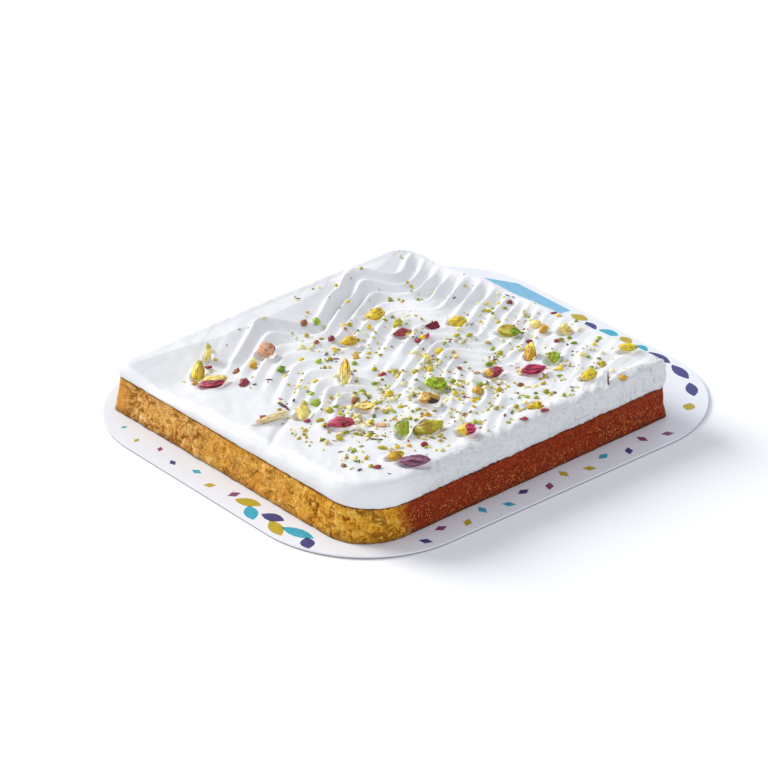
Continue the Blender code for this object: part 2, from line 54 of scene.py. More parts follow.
# Camera, in metres and degrees, with the lens and its sensor in millimetres
LENS = 187.5
SENSOR = 36
ELEVATION = 28.70
AZIMUTH = 49.40
DISTANCE = 2.3743
TARGET = Vector((-0.0279, 0.0063, 0))

# Light, in metres and degrees. The sun stands this far right, away and up, seen from the camera
SKY_COLOUR = (0.93, 0.97, 1.06)
SKY_STRENGTH = 0.63
SUN_FROM = (-0.78, 0.48, 0.53)
SUN_COLOUR = (1.0, 0.985, 0.955)
SUN_ENERGY = 2.95
SUN_ANGLE = 28
FILL_FROM = (0.95, 0.0, 0.26)
FILL_COLOUR = (0.93, 0.97, 1.0)
FILL_ENERGY = 3.8
FILL_SIZE = 1.0
FILL_DISTANCE = 1.8
FLOOR_HALF = 4

# Board and its print. A leaf is x, y, heading, ink and length
BOARD_X = 270.0
BOARD_Y = 314.0
BOARD_T = 1.8
PRINT_DEPTH = 0.03
PRINT_MARGIN = 10.5
LEFT_MARGIN = 11.0
INKS = {
    "ink_navy": (0.045, 0.05, 0.22),
    "ink_teal": (0.02, 0.42, 0.58),
    "ink_ochre": (0.54, 0.40, 0.02),
    "ink_mauve": (0.25, 0.06, 0.17),
    "ink_sky": (0.22, 0.52, 0.74),
}
BORDER_INKS = ("ink_navy", "ink_teal", "ink_ochre", "ink_mauve")
FRONT_LEAVES = (
    (30, -144, 25, "ink_ochre", 17), (40, -150, -30, "ink_teal", 16), (52, -144, 20, "ink_navy", 15),
    (62, -150, -20, "ink_ochre", 18), (74, -144, 15, "ink_teal", 22), (86, -147, -35, "ink_navy", 12),
)
FRONT_LEAF_WIDTH = 8.4
BACK_LEAVES = (
    (-12, 150, 12, "ink_ochre", 13), (1, 147, -20, "ink_navy", 13), (14, 150, 15, "ink_teal", 14),
    (28, 151, -8, "ink_ochre", 11), (41, 151, 8, "ink_teal", 11), (57, 151, 0, "ink_navy", 19),
    (78, 148, -14, "ink_navy", 20), (98, 138, -35, "ink_navy", 17), (112, 122, -60, "ink_ochre", 9),
)
BACK_LEAF_WIDTH = 7.5
SKY_BAR = ((-90, 141), (-24, 141), (-22, 152), (-70, 152))

# Colours of the cream, the cake and the card's edge
# Painted light: a whiter colour that brightens the cream's airy walls
LIT_FOAM_WHITE = (0.95, 0.95, 0.95)
# Painted shade in the pores of the foam
PORE_SHADE_GREY = (0.60, 0.64, 0.70)
CRUMB_BROWN = (0.56, 0.23, 0.014)
# Painted shade in the crumb's cracks
CRACK_SHADE_BROWN = (0.34, 0.13, 0.008)
STRIP_GOLD = (0.78, 0.34, 0.045)
SPECK_GOLD = (0.95, 0.42, 0.11)
# Painted shade where the cake meets the board and under the cream's edge
CONTACT_SHADE_BROWN = (0.09, 0.022, 0.004)
# Partly the card's grey core and partly painted contact shadow at the foot of its edge
CARD_CORE_AND_SHADE = (0.34, 0.31, 0.30)

# Slab
SLAB = {"left": (-105.5, -132.0), "near": (116.0, -129.5), "right": (112.0, 103.0), "back": (-106.5, 90.5)}
CORNER_RADIUS = {"left": 3.0, "near": 29.0, "right": 4.0, "back": 18.0}
HALF_X = 110.0
HALF_Y = 114.0
CAKE_BOTTOM = BOARD_T + GAP
CAKE_TOP = 23.1
CREAM_BOTTOM = CAKE_TOP + GAP
CREAM_TOP = {"left": 29.0, "near": 39.3, "right": 38.6, "back": 34.0}

# Cake sides
FLARE = {"front": 4.5, "back": 3.0, "left": 2.5, "right": 1.0}
CRUMB_DEPTH = 1.0
CRUST_DEPTH = 0.45
CRUMB_SIZE = 6.5
FINE_SIDE_STEP = 0.8
FINE_SIDE_ROWS = 28

# Cream comb
COMB_TURNS = ((110, -30), (58, 0), (36, -22), (-16, 15), (-45, -10), (-97, 28), (-140, 38))
COMB_SLANT = 0.22
COMB_SPREAD = 0.35
COMB_ROUND = 5.0
RIDGE_PITCH = 13.2
RIDGE_HEIGHT = 3.6
FALL_SHARE = 0.66
CREST_ROUND = 0.008
GROOVE_CURVE = 1.45
FIRST_RIDGE = -79.0
# Spots where the comb skipped or dug in: x, y, reach along x and y, how much of the ridges is there
SPOTS = (
    (-1, -14, 18, 14, 0.05),
    (-68, -106, 28, 20, 0.35),
    (93, 36, 24, 26, 0.15),
    (62, 40, 16, 14, 0.4),
    (88, -70, 40, 22, 0.3),
    (-25, -30, 16, 16, 0.6),
    (112, -20, 30, 40, 0.35),
    (60, 84, 30, 16, 0.5),
    (-71, 10, 16, 18, 1.3),
    (-45, 66, 22, 22, 1.35),
    (20, 24, 14, 14, 1.3),
    (26, -57, 14, 14, 1.2),
)
SHOULDER = {"front": 5.0, "back": 4.0, "left": 4.5, "right": 5.5}
LEFT_FRONT_SHOULDER = 2.5
BACK_RIGHT_SHOULDER = 3.2
# The inner edge of the raised rim along -X: y, x
RIM_EDGE = (
    (-132, -97), (-107, -95), (-87, -91), (-66, -87.5), (-41, -89), (-7, -89), (4, -92), (22, -98),
    (30, -94.5), (58, -93), (70, -98), (84, -103),
)
RIM_FALL = 28.0
RIM_HEIGHT = 3.6
RIM_DIP = 2.9
BACK_RIM = 2.0
WALL_BULGE = 0.9
CREASES = (
    (14, -103, 31, -127, 4.5, 1.3),
    (46, -115, 61, -103, 4.0, 0.8),
    (62, -116, 86, -107, 6.0, 0.6),
)
FINE_STEP = 0.9
FINE_SHOULDER = 0.55
FINE_WALL_ROWS = 15
WALL_BAND = 0.05

# Large nut pieces. As in the part: x, y, length, width, height, heading, pitch and kind, with a piece's
# number in the list as its seed. Then the colours of its flesh and skin, and how far along the piece the
# skin starts, from -1 for all skin to 1 for none, or else the direction towards the skin and how far
# that way it starts
NUTS = {
    "kernel_purple_front": (107, -87, 17.7, 9.0, 7.0, 48, 4, "kernel", "plum", "plum", -1),
    "half_orange_front": (95, -91, 10.5, 7.5, 5.0, 66, 8, "kernel", "amber", "yellow", 0.3),
    "half_open_front": (82, -55, 18.0, 11.5, 7.5, 72, 6, "kernel", "olive", "black", (-0.4, 0.9, 0.2, 0.62)),
    "chunk_green_front": (75.5, -67.5, 15.0, 8.0, 7.5, 127, 18, "chunk", "lime", "leaf", 0.5),
    "kernel_magenta_front": (100, -42, 12.0, 9.0, 7.0, 35, 8, "kernel", "yellow", "magenta", 0),
    "chopped_green": (46, -19, 18.5, 13.0, 7.5, 24, 0, "ragged", "lime", "leaf", 1),
    "kernel_broken": (58, -34, 15.0, 8.0, 6.5, 33, 5, "chunk", "amber", "black", 0.1),
    "flake_maroon": (45, -88, 18.0, 12.5, 4.5, 46, 8, "flake", "magenta", "maroon", 0),
    "chunk_pale_front": (20, -95, 12.5, 10.0, 7.0, 98, 10, "chunk", "pale", "yellow", 0.2),
    "sliver_beige": (11, -110, 24.0, 5.5, 3.4, 84, 0, "sliver", "beige", "beige", 0.5),
    "half_open_left": (-48, -106, 18.0, 11.0, 7.0, 66, 8, "kernel", "pale", "maroon", (-0.5, -0.6, -0.5, 0)),
    "kernel_green_left": (-65, -104, 16.0, 7.5, 7.0, 131, 32, "kernel", "yellow", "olive", 0.4),
    "sliver_green_left": (-76, -88, 13.0, 4.5, 4.5, 130, 38, "sliver", "pale", "olive", 0.6),
    "nut_round_left": (-55, -61, 11.0, 9.5, 9.0, 70, 0, "kernel", "rose", "brown", 0.7),
    "kernel_back_left": (-49, 17, 12.5, 10.0, 7.5, 59, 5, "kernel", "yellow", "yellow", 0.8),
    "kernel_upright_centre": (2, -49, 17.0, 6.5, 6.0, 140, 34, "kernel", "pale", "amber", 0),
    "chunk_yellow_left": (-29, -19, 12.5, 7.5, 6.0, 46, 6, "chunk", "yellow", "maroon", 0),
    "chunk_maroon_left": (-17, 11, 12.0, 8.0, 6.0, 53, 6, "chunk", "maroon", "yellow", 0.35),
    "bar_maroon": (-12.5, 31.5, 10.5, 6.5, 5.0, 40, 4, "chunk", "wine", "wine", -1),
    "kernel_green_centre": (-5.5, 44, 11.0, 9.5, 7.0, 47, 8, "kernel", "yellow", "olive", 0.8),
    "kernel_green_back": (25, 57, 16.0, 9.0, 7.0, 23, 5, "kernel", "olive", "leaf", 0.7),
    "kernel_upright_right": (53.5, 48.5, 13.5, 7.0, 6.5, 131, 28, "kernel", "amber", "yellow", 0.2),
    "kernel_magenta_right": (71, 35, 14.0, 8.0, 6.5, 59, 5, "kernel", "magenta", "magenta", -1),
    "half_brown_right": (57, 17, 11.5, 8.0, 6.0, 61, 8, "kernel", "amber", "maroon", -0.3),
    "chunk_green_right": (66.5, 54, 13.0, 9.0, 8.0, 120, 14, "ragged", "lime", "leaf", 0.2),
    "chunk_yellow_back": (46, 84, 10.5, 8.5, 6.5, 86, 8, "chunk", "pale", "yellow", 0.6),
    "kernel_olive_back": (90, 92, 12.0, 6.5, 5.0, 42, 4, "kernel", "yellow", "olive", 0.3),
    "chunk_olive_right": (97, 55, 14.0, 8.0, 5.5, 92, 4, "chunk", "yellow", "olive", 0.2),
    "chunk_star_right": (102, 8, 12.0, 9.0, 5.0, 48, 4, "ragged", "yellow", "amber", 0.4),
    "shell_orange": (40, -65.5, 10.5, 9.0, 5.5, 47, 6, "half", "pale", "amber", 0),
}
NUT_SINK = 2.8
NUT_LIP = 0.7
SEAT = 0.05
SETTLE_ROUNDS = 5
FINE_FACETS = 5
DARK_WORDS = ("purple", "magenta", "maroon", "brown", "round")

# Colours of the nuts
TINTS = {
    "lime": (0.34, 0.48, 0.025),
    "leaf": (0.18, 0.30, 0.014),
    "olive": (0.50, 0.44, 0.02),
    "yellow": (0.80, 0.60, 0.025),
    "pale": (0.92, 0.76, 0.24),
    "straw": (0.98, 0.92, 0.46),
    "amber": (0.66, 0.37, 0.025),
    "beige": (0.84, 0.68, 0.36),
    "rose": (0.74, 0.42, 0.25),
    "brown": (0.32, 0.11, 0.03),
    "maroon": (0.32, 0.032, 0.06),
    "magenta": (0.50, 0.03, 0.11),
    "wine": (0.22, 0.006, 0.03),
    "plum": (0.22, 0.08, 0.15),
    "black": (0.06, 0.025, 0.03),
}
# Middle-sized bits that stand where the photograph has them: x, y and size, as in the part, and colour
PLACED_BITS = (
    (92, -57, 7.5, "pale"), (13, -80, 7.0, "lime"), (10, -86, 5.5, "olive"), (-35, -94, 8.0, "maroon"),
    (-33, -68, 6.0, "leaf"), (-50, -75, 6.0, "amber"), (-52, -86, 5.5, "brown"), (-28, 17, 8.0, "olive"),
    (27, 77, 8.5, "pale"), (36, 75, 7.0, "amber"), (66, -4, 7.5, "amber"), (60, 4, 6.0, "lime"),
    (26, -81, 6.5, "olive"), (27, -62, 7.0, "brown"), (110, 69, 6.5, "amber"), (-40, -24, 6.0, "maroon"),
    (-67, -13, 6.0, "lime"), (-69, -21, 5.5, "brown"), (16, 50, 6.0, "yellow"), (34, -43, 6.0, "yellow"),
    (13, 14, 7.0, "yellow"),
)
# Bits scattered as in the part, within a field along x and y
SCATTERED_BITS = 32
SCATTERED_TINTS = ("yellow", "olive", "amber", "lime", "pale", "yellow", "maroon", "olive", "brown")
SCATTER_SEED = 7
BIT_FIELD = ((-92, 100), (-112, 92))
BIT_SMALLEST = 3.4
BIT_LARGEST = 5.6
BIT_CLEARANCE = 2.0
BIT_SEED = 100
BIT_BREAK_SEED = 200
SPLINTER_SEED = 300
SPLINTER_BREAK_SEED = 400
# Flakes and splinters of skin: x, y, length, width, height, heading, pitch, colour
SPLINTERS = (
    (1.6, -94.8, 12.0, 2.4, 1.4, 0, 0, "black"), (27.0, -98.0, 5.0, 3.4, 1.6, 40, 0, "maroon"),
    (23.5, -95.5, 4.2, 2.6, 1.6, 95, 0, "plum"), (59.0, -70.0, 9.0, 5.5, 1.2, 50, 0, "rose"),
    (80.5, -88.0, 6.5, 4.4, 2.2, 48, 0, "olive"), (96.0, -105.0, 5.5, 3.6, 2.0, 60, 0, "maroon"),
    (109.0, -7.0, 6.0, 4.0, 1.6, 50, 0, "maroon"), (110.0, 8.0, 5.4, 3.8, 1.8, 62, 0, "maroon"),
    (107.0, 60.0, 12.0, 1.2, 1.2, 139, 25, "black"), (6.4, -112.5, 5.4, 3.4, 2.2, 60, 0, "maroon"),
    (-68.0, -94.0, 6.0, 3.0, 2.0, 30, 12, "maroon"), (-57.0, -113.0, 5.0, 2.4, 1.6, 70, 0, "amber"),
    (-6.0, 14.0, 6.0, 3.4, 2.4, 20, 8, "maroon"), (-4.0, 19.0, 5.4, 3.0, 2.2, 110, 8, "magenta"),
    (40.0, 60.0, 5.0, 3.0, 2.0, 80, 0, "wine"), (50.0, 10.0, 5.0, 2.6, 1.6, 60, 0, "rose"),
)
# Crumbs: how many, where along x and y, how large, and the kinds with their colours and shares
CRUMBS = 1250
CRUMB_SEED = 41
CRUMB_FIELD = ((-98, 106), (-118, 96))
CRUMB_SMALLEST = 1.4
CRUMB_LARGEST = 4.4
CRUMB_KINDS = (
    ("crumbs_yellow", ("straw", "pale", "yellow", "straw", "olive"), 0.58),
    ("crumbs_green", ("olive", "lime", "leaf", "olive"), 0.26),
    ("crumbs_brown", ("brown", "beige", "amber"), 0.07),
    ("crumbs_maroon", ("maroon", "plum", "black"), 0.09),
)
# The kind of a bit in a colour that no crumb has
BIT_KINDS = {"magenta": "crumbs_maroon", "wine": "crumbs_maroon", "rose": "crumbs_brown"}


def smooth_step(low, high, value):
    t = np.clip((value - low) / (high - low), 0, 1)
    return t * t * (3 - 2 * t)

def spot(x, y, centre_x, centre_y, reach_x, reach_y):
    """1 in the middle of a soft spot, and next to nothing well beyond its reach."""
    return np.exp(-(((x - centre_x) / reach_x) ** 2) - ((y - centre_y) / reach_y) ** 2)



noise_tables = {}


def grain(x, y, z, size, seed=0):
    """Smooth noise from -1 to 1 at each point, with lumps of about the size given."""
    if seed not in noise_tables:
        noise_tables[seed] = np.random.default_rng(seed).uniform(-1, 1, (64, 64, 64))
    shape = np.broadcast(x, y, z).shape
    cell = np.stack([np.broadcast_to(c, shape).ravel() for c in (x, y, z)]) / size + 500.37
    low = np.floor(cell).astype(int)
    part = cell - low
    part = part * part * (3 - 2 * part)
    total = 0
    for step in np.ndindex(2, 2, 2):
        weight = np.prod([part[k] if step[k] else 1 - part[k] for k in range(3)], axis=0)
        total = total + weight * noise_tables[seed][tuple((low[k] + step[k]) % 64 for k in range(3))]
    return total.reshape(shape)


# Meshes


def add_object(name, data):
    made = bpy.data.objects.new(name, data)
    bpy.context.scene.collection.objects.link(made)
    return made


def add_piece(name, points, faces, finish, slot, smooth=True, **fields):
    """A named piece from points in millimetres, riding on the object. A field is a number or a
    colour for each point."""
    mesh = bpy.data.meshes.new(name)
    points = np.asarray(points, float) * MM
    faces = np.asarray(faces)
    mesh.vertices.add(len(points))
    mesh.vertices.foreach_set("co", points.ravel())
    sides = faces.shape[1]
    mesh.loops.add(faces.size)
    mesh.loops.foreach_set("vertex_index", faces.ravel())
    mesh.polygons.add(len(faces))
    mesh.polygons.foreach_set("loop_start", np.arange(0, faces.size, sides))
    mesh.update(calc_edges=True)
    mesh.validate()
    mesh.materials.append(finish)
    if smooth:
        mesh.shade_smooth()
    for field, values in fields.items():
        values = np.asarray(values, float)
        if values.ndim == 2:
            layer = mesh.color_attributes.new(field, "FLOAT_COLOR", "POINT")
            layer.data.foreach_set("color", np.column_stack([values, np.ones(len(values))]).ravel())
        else:
            mesh.attributes.new(field, "FLOAT", "POINT").data.foreach_set("value", values)
    piece = add_object(name, mesh)
    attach(piece, "root")
    return piece


def grid_faces(rows, columns, closed=False):
    """Quads of a grid of points, with the last column joined to the first if closed."""
    index = np.arange(rows * columns).reshape(rows, columns)
    if closed:
        index = np.column_stack([index, index[:, 0]])
    corners = (index[:-1, :-1], index[1:, :-1], index[1:, 1:], index[:-1, 1:])
    return np.stack([c.ravel() for c in corners], -1)


def join(parts):
    """Points, faces and colours of many small pieces, as one."""
    counts = np.cumsum([0] + [len(points) for points, _, _ in parts])
    points = np.concatenate([points for points, _, _ in parts])
    faces = np.concatenate([faces + start for (_, faces, _), start in zip(parts, counts)])
    tints = np.concatenate([tint for _, _, tint in parts])
    return points, faces, tints


# Slab outline


def by_corner(values, u, v):
    right = (1 + u) / 2
    back = (1 + v) / 2
    front_row = values["left"] * (1 - right) + values["near"] * right
    back_row = values["back"] * (1 - right) + values["right"] * right
    return front_row * (1 - back) + back_row * back


def by_side(values, nx, ny):
    return (
        values["right"] * np.maximum(nx, 0) ** 2
        + values["left"] * np.minimum(nx, 0) ** 2
        + values["back"] * np.maximum(ny, 0) ** 2
        + values["front"] * np.minimum(ny, 0) ** 2
    )


def slab_point(u, v):
    """Where a point of the square from -1 to 1 lies in the slab's rounded outline, and the outward
    direction there, which is whole on the outline and fades inside it."""
    front = v < 0
    left = u < 0
    radius = np.where(
        front,
        np.where(left, CORNER_RADIUS["left"], CORNER_RADIUS["near"]),
        np.where(left, CORNER_RADIUS["back"], CORNER_RADIUS["right"]),
    )
    zone_u = radius / HALF_X
    zone_v = radius / HALF_Y
    p = np.clip((np.abs(u) - 1 + zone_u) / zone_u, 0, 1)
    q = np.clip((np.abs(v) - 1 + zone_v) / zone_v, 0, 1)
    nx = p * np.sqrt(1 - q * q / 2)
    ny = q * np.sqrt(1 - p * p / 2)
    ru = np.sign(u) * np.where(p > 0, 1 - zone_u + zone_u * nx, np.abs(u))
    rv = np.sign(v) * np.where(q > 0, 1 - zone_v + zone_v * ny, np.abs(v))
    x = by_corner({name: corner[0] for name, corner in SLAB.items()}, ru, rv)
    y = by_corner({name: corner[1] for name, corner in SLAB.items()}, ru, rv)
    return x, y, np.sign(u) * nx, np.sign(v) * ny


def square_edge(steps_x, steps_y):
    """Points round the edge of the square from -1 to 1, counter-clockwise from the left front corner."""
    along_x = np.linspace(-1, 1, steps_x + 1)[:-1]
    along_y = np.linspace(-1, 1, steps_y + 1)[:-1]
    u = np.concatenate([along_x, np.ones(steps_y), -along_x, -np.ones(steps_y)])
    v = np.concatenate([-np.ones(steps_x), along_y, np.ones(steps_x), -along_y])
    return u, v


# Cream surface


def comb_shift(y):
    turns_y = [turn[0] for turn in reversed(COMB_TURNS)]
    turns_x = [turn[1] for turn in reversed(COMB_TURNS)]
    around = np.linspace(-COMB_ROUND, COMB_ROUND, 7)
    return np.mean([np.interp(y + step, turns_y, turns_x) for step in around], axis=0)


def comb_line(x, y):
    """Which tooth of the comb passed a point, as a distance from the middle tooth."""
    spread = 1 + COMB_SPREAD * smooth_step(-60, 60, x)
    return x - spread * comb_shift(y + COMB_SLANT * (x + 70))


def ridge_height(x, y):
    """The comb's ridges: round grooves between sharp crests, no two alike, from the first ridge on."""
    line = comb_line(x, y)
    loose = smooth_step(-10, 60, x)
    wander = 0.3 * (1 + loose) * grain(x, y, 0, 38, 3) + 0.13 * (1 + 2.6 * loose) * grain(x, y, 0, 15, 4)
    wander = wander + 0.3 * grain(line, 0, 0, 24, 10)
    phase = (line - FIRST_RIDGE) / RIDGE_PITCH + wander
    past = np.where(phase < 0, 1 + phase, phase % 1)
    away = np.where((past < FALL_SHARE) & (phase > 0), past / FALL_SHARE, (1 - past) / (1 - FALL_SHARE))
    away = np.sqrt(away**2 + CREST_ROUND)
    shape = np.maximum(1 - away, 0) ** GROOVE_CURVE - 0.3
    uneven = 0.9 + 0.4 * grain(x, y, 0, 27, 6) + 0.3 * grain(line, 0, 0, 11, 12)
    return RIDGE_HEIGHT * shape * uneven


def ridge_strength(x, y):
    """Full ridges on the left and the back, weaker ones on the right, and almost none in front."""
    strength = 1.05 - 0.3 * smooth_step(-10, 80, x)
    strength = strength * (0.04 + 0.96 * smooth_step(-102, -76, y - 0.3 * np.maximum(x, 0)))
    for *place, share in SPOTS:
        strength = strength * (1 + (share - 1) * spot(x, y, *place))
    torn = 0.7 * smooth_step(0, 60, x) * grain(x, y, 0, 12, 13)
    return strength * (0.95 + 0.6 * grain(x, y, 0, 24, 8) + torn)


def rim_height(x, y):
    """The raised rim along -X, which falls off to a dip before the first ridge."""
    edge = np.interp(y, *zip(*RIM_EDGE)) + 0.8 * grain(0, y, 0, 9, 5)
    fall = np.clip((x - edge) / RIM_FALL, 0, 1)
    return (RIM_HEIGHT + RIM_DIP) * (1 - fall) ** 1.2 - RIM_DIP * (1 - smooth_step(-66, -30, x))


def crease_depth(x, y):
    total = 0
    for x0, y0, x1, y1, width, depth in CREASES:
        length = hypot(x1 - x0, y1 - y0)
        ax = (x1 - x0) / length
        ay = (y1 - y0) / length
        along = (x - x0) * ax + (y - y0) * ay
        across = (x - x0) * ay - (y - y0) * ax
        past_end = np.maximum(np.maximum(-along, along - length), 0)
        total = total + depth * np.exp(-((across / width * 2) ** 2) - (past_end / width) ** 2)
    return total


def nut_reach(nut, x, y, margin=0):
    """How far out from the middle of a nut a point is, with 1 at its outline widened by the margin."""
    nut_x, nut_y, length, width, _, heading, *_ = nut
    c = cos(radians(heading))
    s = sin(radians(heading))
    along = ((x - nut_x) * c + (y - nut_y) * s) / (length / 2 + margin)
    across = ((y - nut_y) * c - (x - nut_x) * s) / (width / 2 + margin)
    return np.sqrt(along**2 + across**2)


def nut_press(x, y):
    """How far the nuts press the cream in, with a low lip round each, and where they flatten it."""
    dent = 0
    flat = 0
    for nut in NUTS.values():
        reach = nut_reach(nut, x, y)
        dent = dent + NUT_SINK * (1 - smooth_step(0.45, 1.2, reach))
        dent = dent - NUT_LIP * np.exp(-(((reach - 1.35) / 0.25) ** 2))
        flat = np.maximum(flat, 1 - smooth_step(0.9, 1.6, reach))
    return dent, flat


def cream_height(u, v, x, y):
    """The height of the cream's top surface, as in the part."""
    rise = by_corner(CREAM_TOP, u, v)
    swell = 0.9 * grain(x, y, 0, 42, 9)
    to_x_edge = HALF_X * (1 - np.abs(u)) + 3.5 * (u > 0)
    to_y_edge = HALF_Y * (1 - np.abs(v))
    inside = smooth_step(0.5, 8, np.minimum(to_x_edge, to_y_edge))
    from_back = HALF_Y * (1 - v)
    back_rim = BACK_RIM * (1 - smooth_step(3, 18, from_back)) * smooth_step(-0.98, -0.75, u)
    back_rim = back_rim * (1 + 0.9 * np.exp(-(((u + 0.5) / 0.2) ** 2)) - 0.5 * smooth_step(0.85, 1, u))
    dent, flat = nut_press(x, y)
    ridges = ridge_height(x, y) * ridge_strength(x, y) * inside * (1 - 0.8 * flat)
    ridges = ridges * smooth_step(1, 16, from_back) + back_rim
    return rise + swell + rim_height(x, y) + ridges - crease_depth(x, y) - dent * inside


def shoulder_drop(u, v):
    """How far the rounded edge has fallen below the top."""
    right = SHOULDER["right"] + (BACK_RIGHT_SHOULDER - SHOULDER["right"]) * smooth_step(0.4, 0.95, v)
    radius_u = np.where(u < 0, SHOULDER["left"], right)
    front = LEFT_FRONT_SHOULDER + (SHOULDER["front"] - LEFT_FRONT_SHOULDER) * smooth_step(-0.9, 0.2, u)
    radius_v = np.where(v < 0, front, SHOULDER["back"])
    from_u = np.maximum(1 - HALF_X * (1 - np.abs(u)) / radius_u, 0)
    from_v = np.maximum(1 - HALF_Y * (1 - np.abs(v)) / radius_v, 0)
    _, _, nx, ny = slab_point(u, v)
    wide = (u > 0) != (v > 0)
    corner = np.where(u > 0, CORNER_RADIUS["near"], CORNER_RADIUS["back"])
    weight = np.where(wide, nx**2 + 1e-9, from_u + 1e-6)
    weight = weight / (weight + np.where(wide, ny**2 + 1e-9, from_v + 1e-6))
    radius = radius_u * weight + radius_v * (1 - weight)
    round_reach = 1 - corner * (1 - np.hypot(nx, ny)) / radius
    reach = np.clip(np.where(wide, round_reach, np.hypot(from_u, from_v)), 0, 1)
    return radius * (1 - np.sqrt(1 - reach * reach)) * 0.85


def cream_marks(x, y):
    """What the comb's teeth and the whipping leave on the surface: fine streaks and soft lumps."""
    line = comb_line(x, y)
    streaks = 0.14 * grain(line, y * 0.06, 0, 1.9, 21) + 0.2 * grain(line, y * 0.08, 0, 3.8, 22)
    torn = smooth_step(-20, 50, x) * smooth_step(-110, -60, y)
    lumps = (0.22 + 0.3 * torn) * grain(x, y, 0, 8, 23) + (0.09 + 0.16 * torn) * grain(x, y, 0, 3, 24)
    sweep = 0.4 * grain(y + 0.4 * x, (x - 0.4 * y) * 0.16, 0, 6, 52) + 0.25 * np.abs(grain(x, y, 0, 11, 53))
    return streaks * smooth_step(-112, -70, y) + sweep * (1 - smooth_step(-85, -50, y)) + lumps


def cream_surface(u, v):
    """The cream over the square: its top inside 1, and its walls in the band beyond."""
    outer = np.maximum(np.maximum(np.abs(u), np.abs(v)), 1)
    down = (outer - 1) / WALL_BAND
    u = u / outer
    v = v / outer
    x, y, nx, ny = slab_point(u, v)
    top = cream_height(u, v, x, y) + cream_marks(x, y) - shoulder_drop(u, v)
    ragged = 0.22 * grain(x, y, 0, 5, 25) + 0.12 * grain(x, y, 0, 1.8, 26)
    z = top + (CREAM_BOTTOM - 0.35 + ragged - top) * down
    bulge = WALL_BULGE * np.sin(pi * np.clip(down * 0.85 + 0.15, 0, 1)) * (down > 0)
    edge = smooth_step(0.965, 1, np.maximum(np.abs(u), np.abs(v)))
    airy = smooth_step(0.9, 0.97, u) * smooth_step(-0.86, -0.55, v)
    airy = np.maximum(airy, 0.7 * smooth_step(-0.86, -0.96, u) * smooth_step(0.8, 0.92, v))
    bubbles = 0.6 * np.abs(grain(x, y, z, 2.9, 27)) + 0.45 * np.abs(grain(x, y, z, 1.7, 28)) - 0.3
    calm = 0.25 * grain(x, y, z, 9, 29) + 0.08 * grain(x, y, z, 2.2, 30)
    out = bulge + airy * edge * bubbles * 1.5 + edge * calm
    return np.stack([x + nx * out, y + ny * out, z + airy * bubbles * 0.9 * (1 - down)], -1), airy


def settle(points, nut_tree):
    """Bring the cream to the underside of each nut, and let the change fade out round it."""
    x, y, z = np.moveaxis(points, -1, 0)
    under = np.full(z.shape, np.inf)
    for nut_x, nut_y, length, *_ in NUTS.values():
        for i, j in zip(*np.nonzero(np.hypot(x - nut_x, y - nut_y) < length / 2 + 1)):
            hit = nut_tree.ray_cast(Vector((x[i, j], y[i, j], CREAM_BOTTOM)), Vector((0, 0, 1)))[0]
            if hit:
                under[i, j] = hit.z
    under = np.where(z > CREAM_BOTTOM + 1, under, np.inf)
    touched = np.isfinite(under)
    space = np.where(touched, under - SEAT - z, 0)
    change = np.where(space > 1, np.exp((1 - space) / 0.8), space)
    for _ in range(SETTLE_ROUNDS):
        around = sum(np.roll(change, step, axis) for step in (-1, 1) for axis in (0, 1)) / 4
        change = np.where(touched, change, np.maximum(around, -0.3) * 0.97)
    points[..., 2] += change


def fine_lines(half):
    """Places from one lower edge of the cream to the other, closer together at the rounded edges."""
    edge = np.arange(0, 7, FINE_SHOULDER)
    inner = half - edge[-1] - FINE_SHOULDER
    top = np.linspace(-inner, inner, round(2 * inner / FINE_STEP) + 1) / half
    wall = 1 + WALL_BAND * np.linspace(0, 1, FINE_WALL_ROWS + 1)[1:]
    side = np.concatenate([1 - edge[::-1] / half, wall])
    return np.concatenate([-side[::-1], top, side])


# Finishes


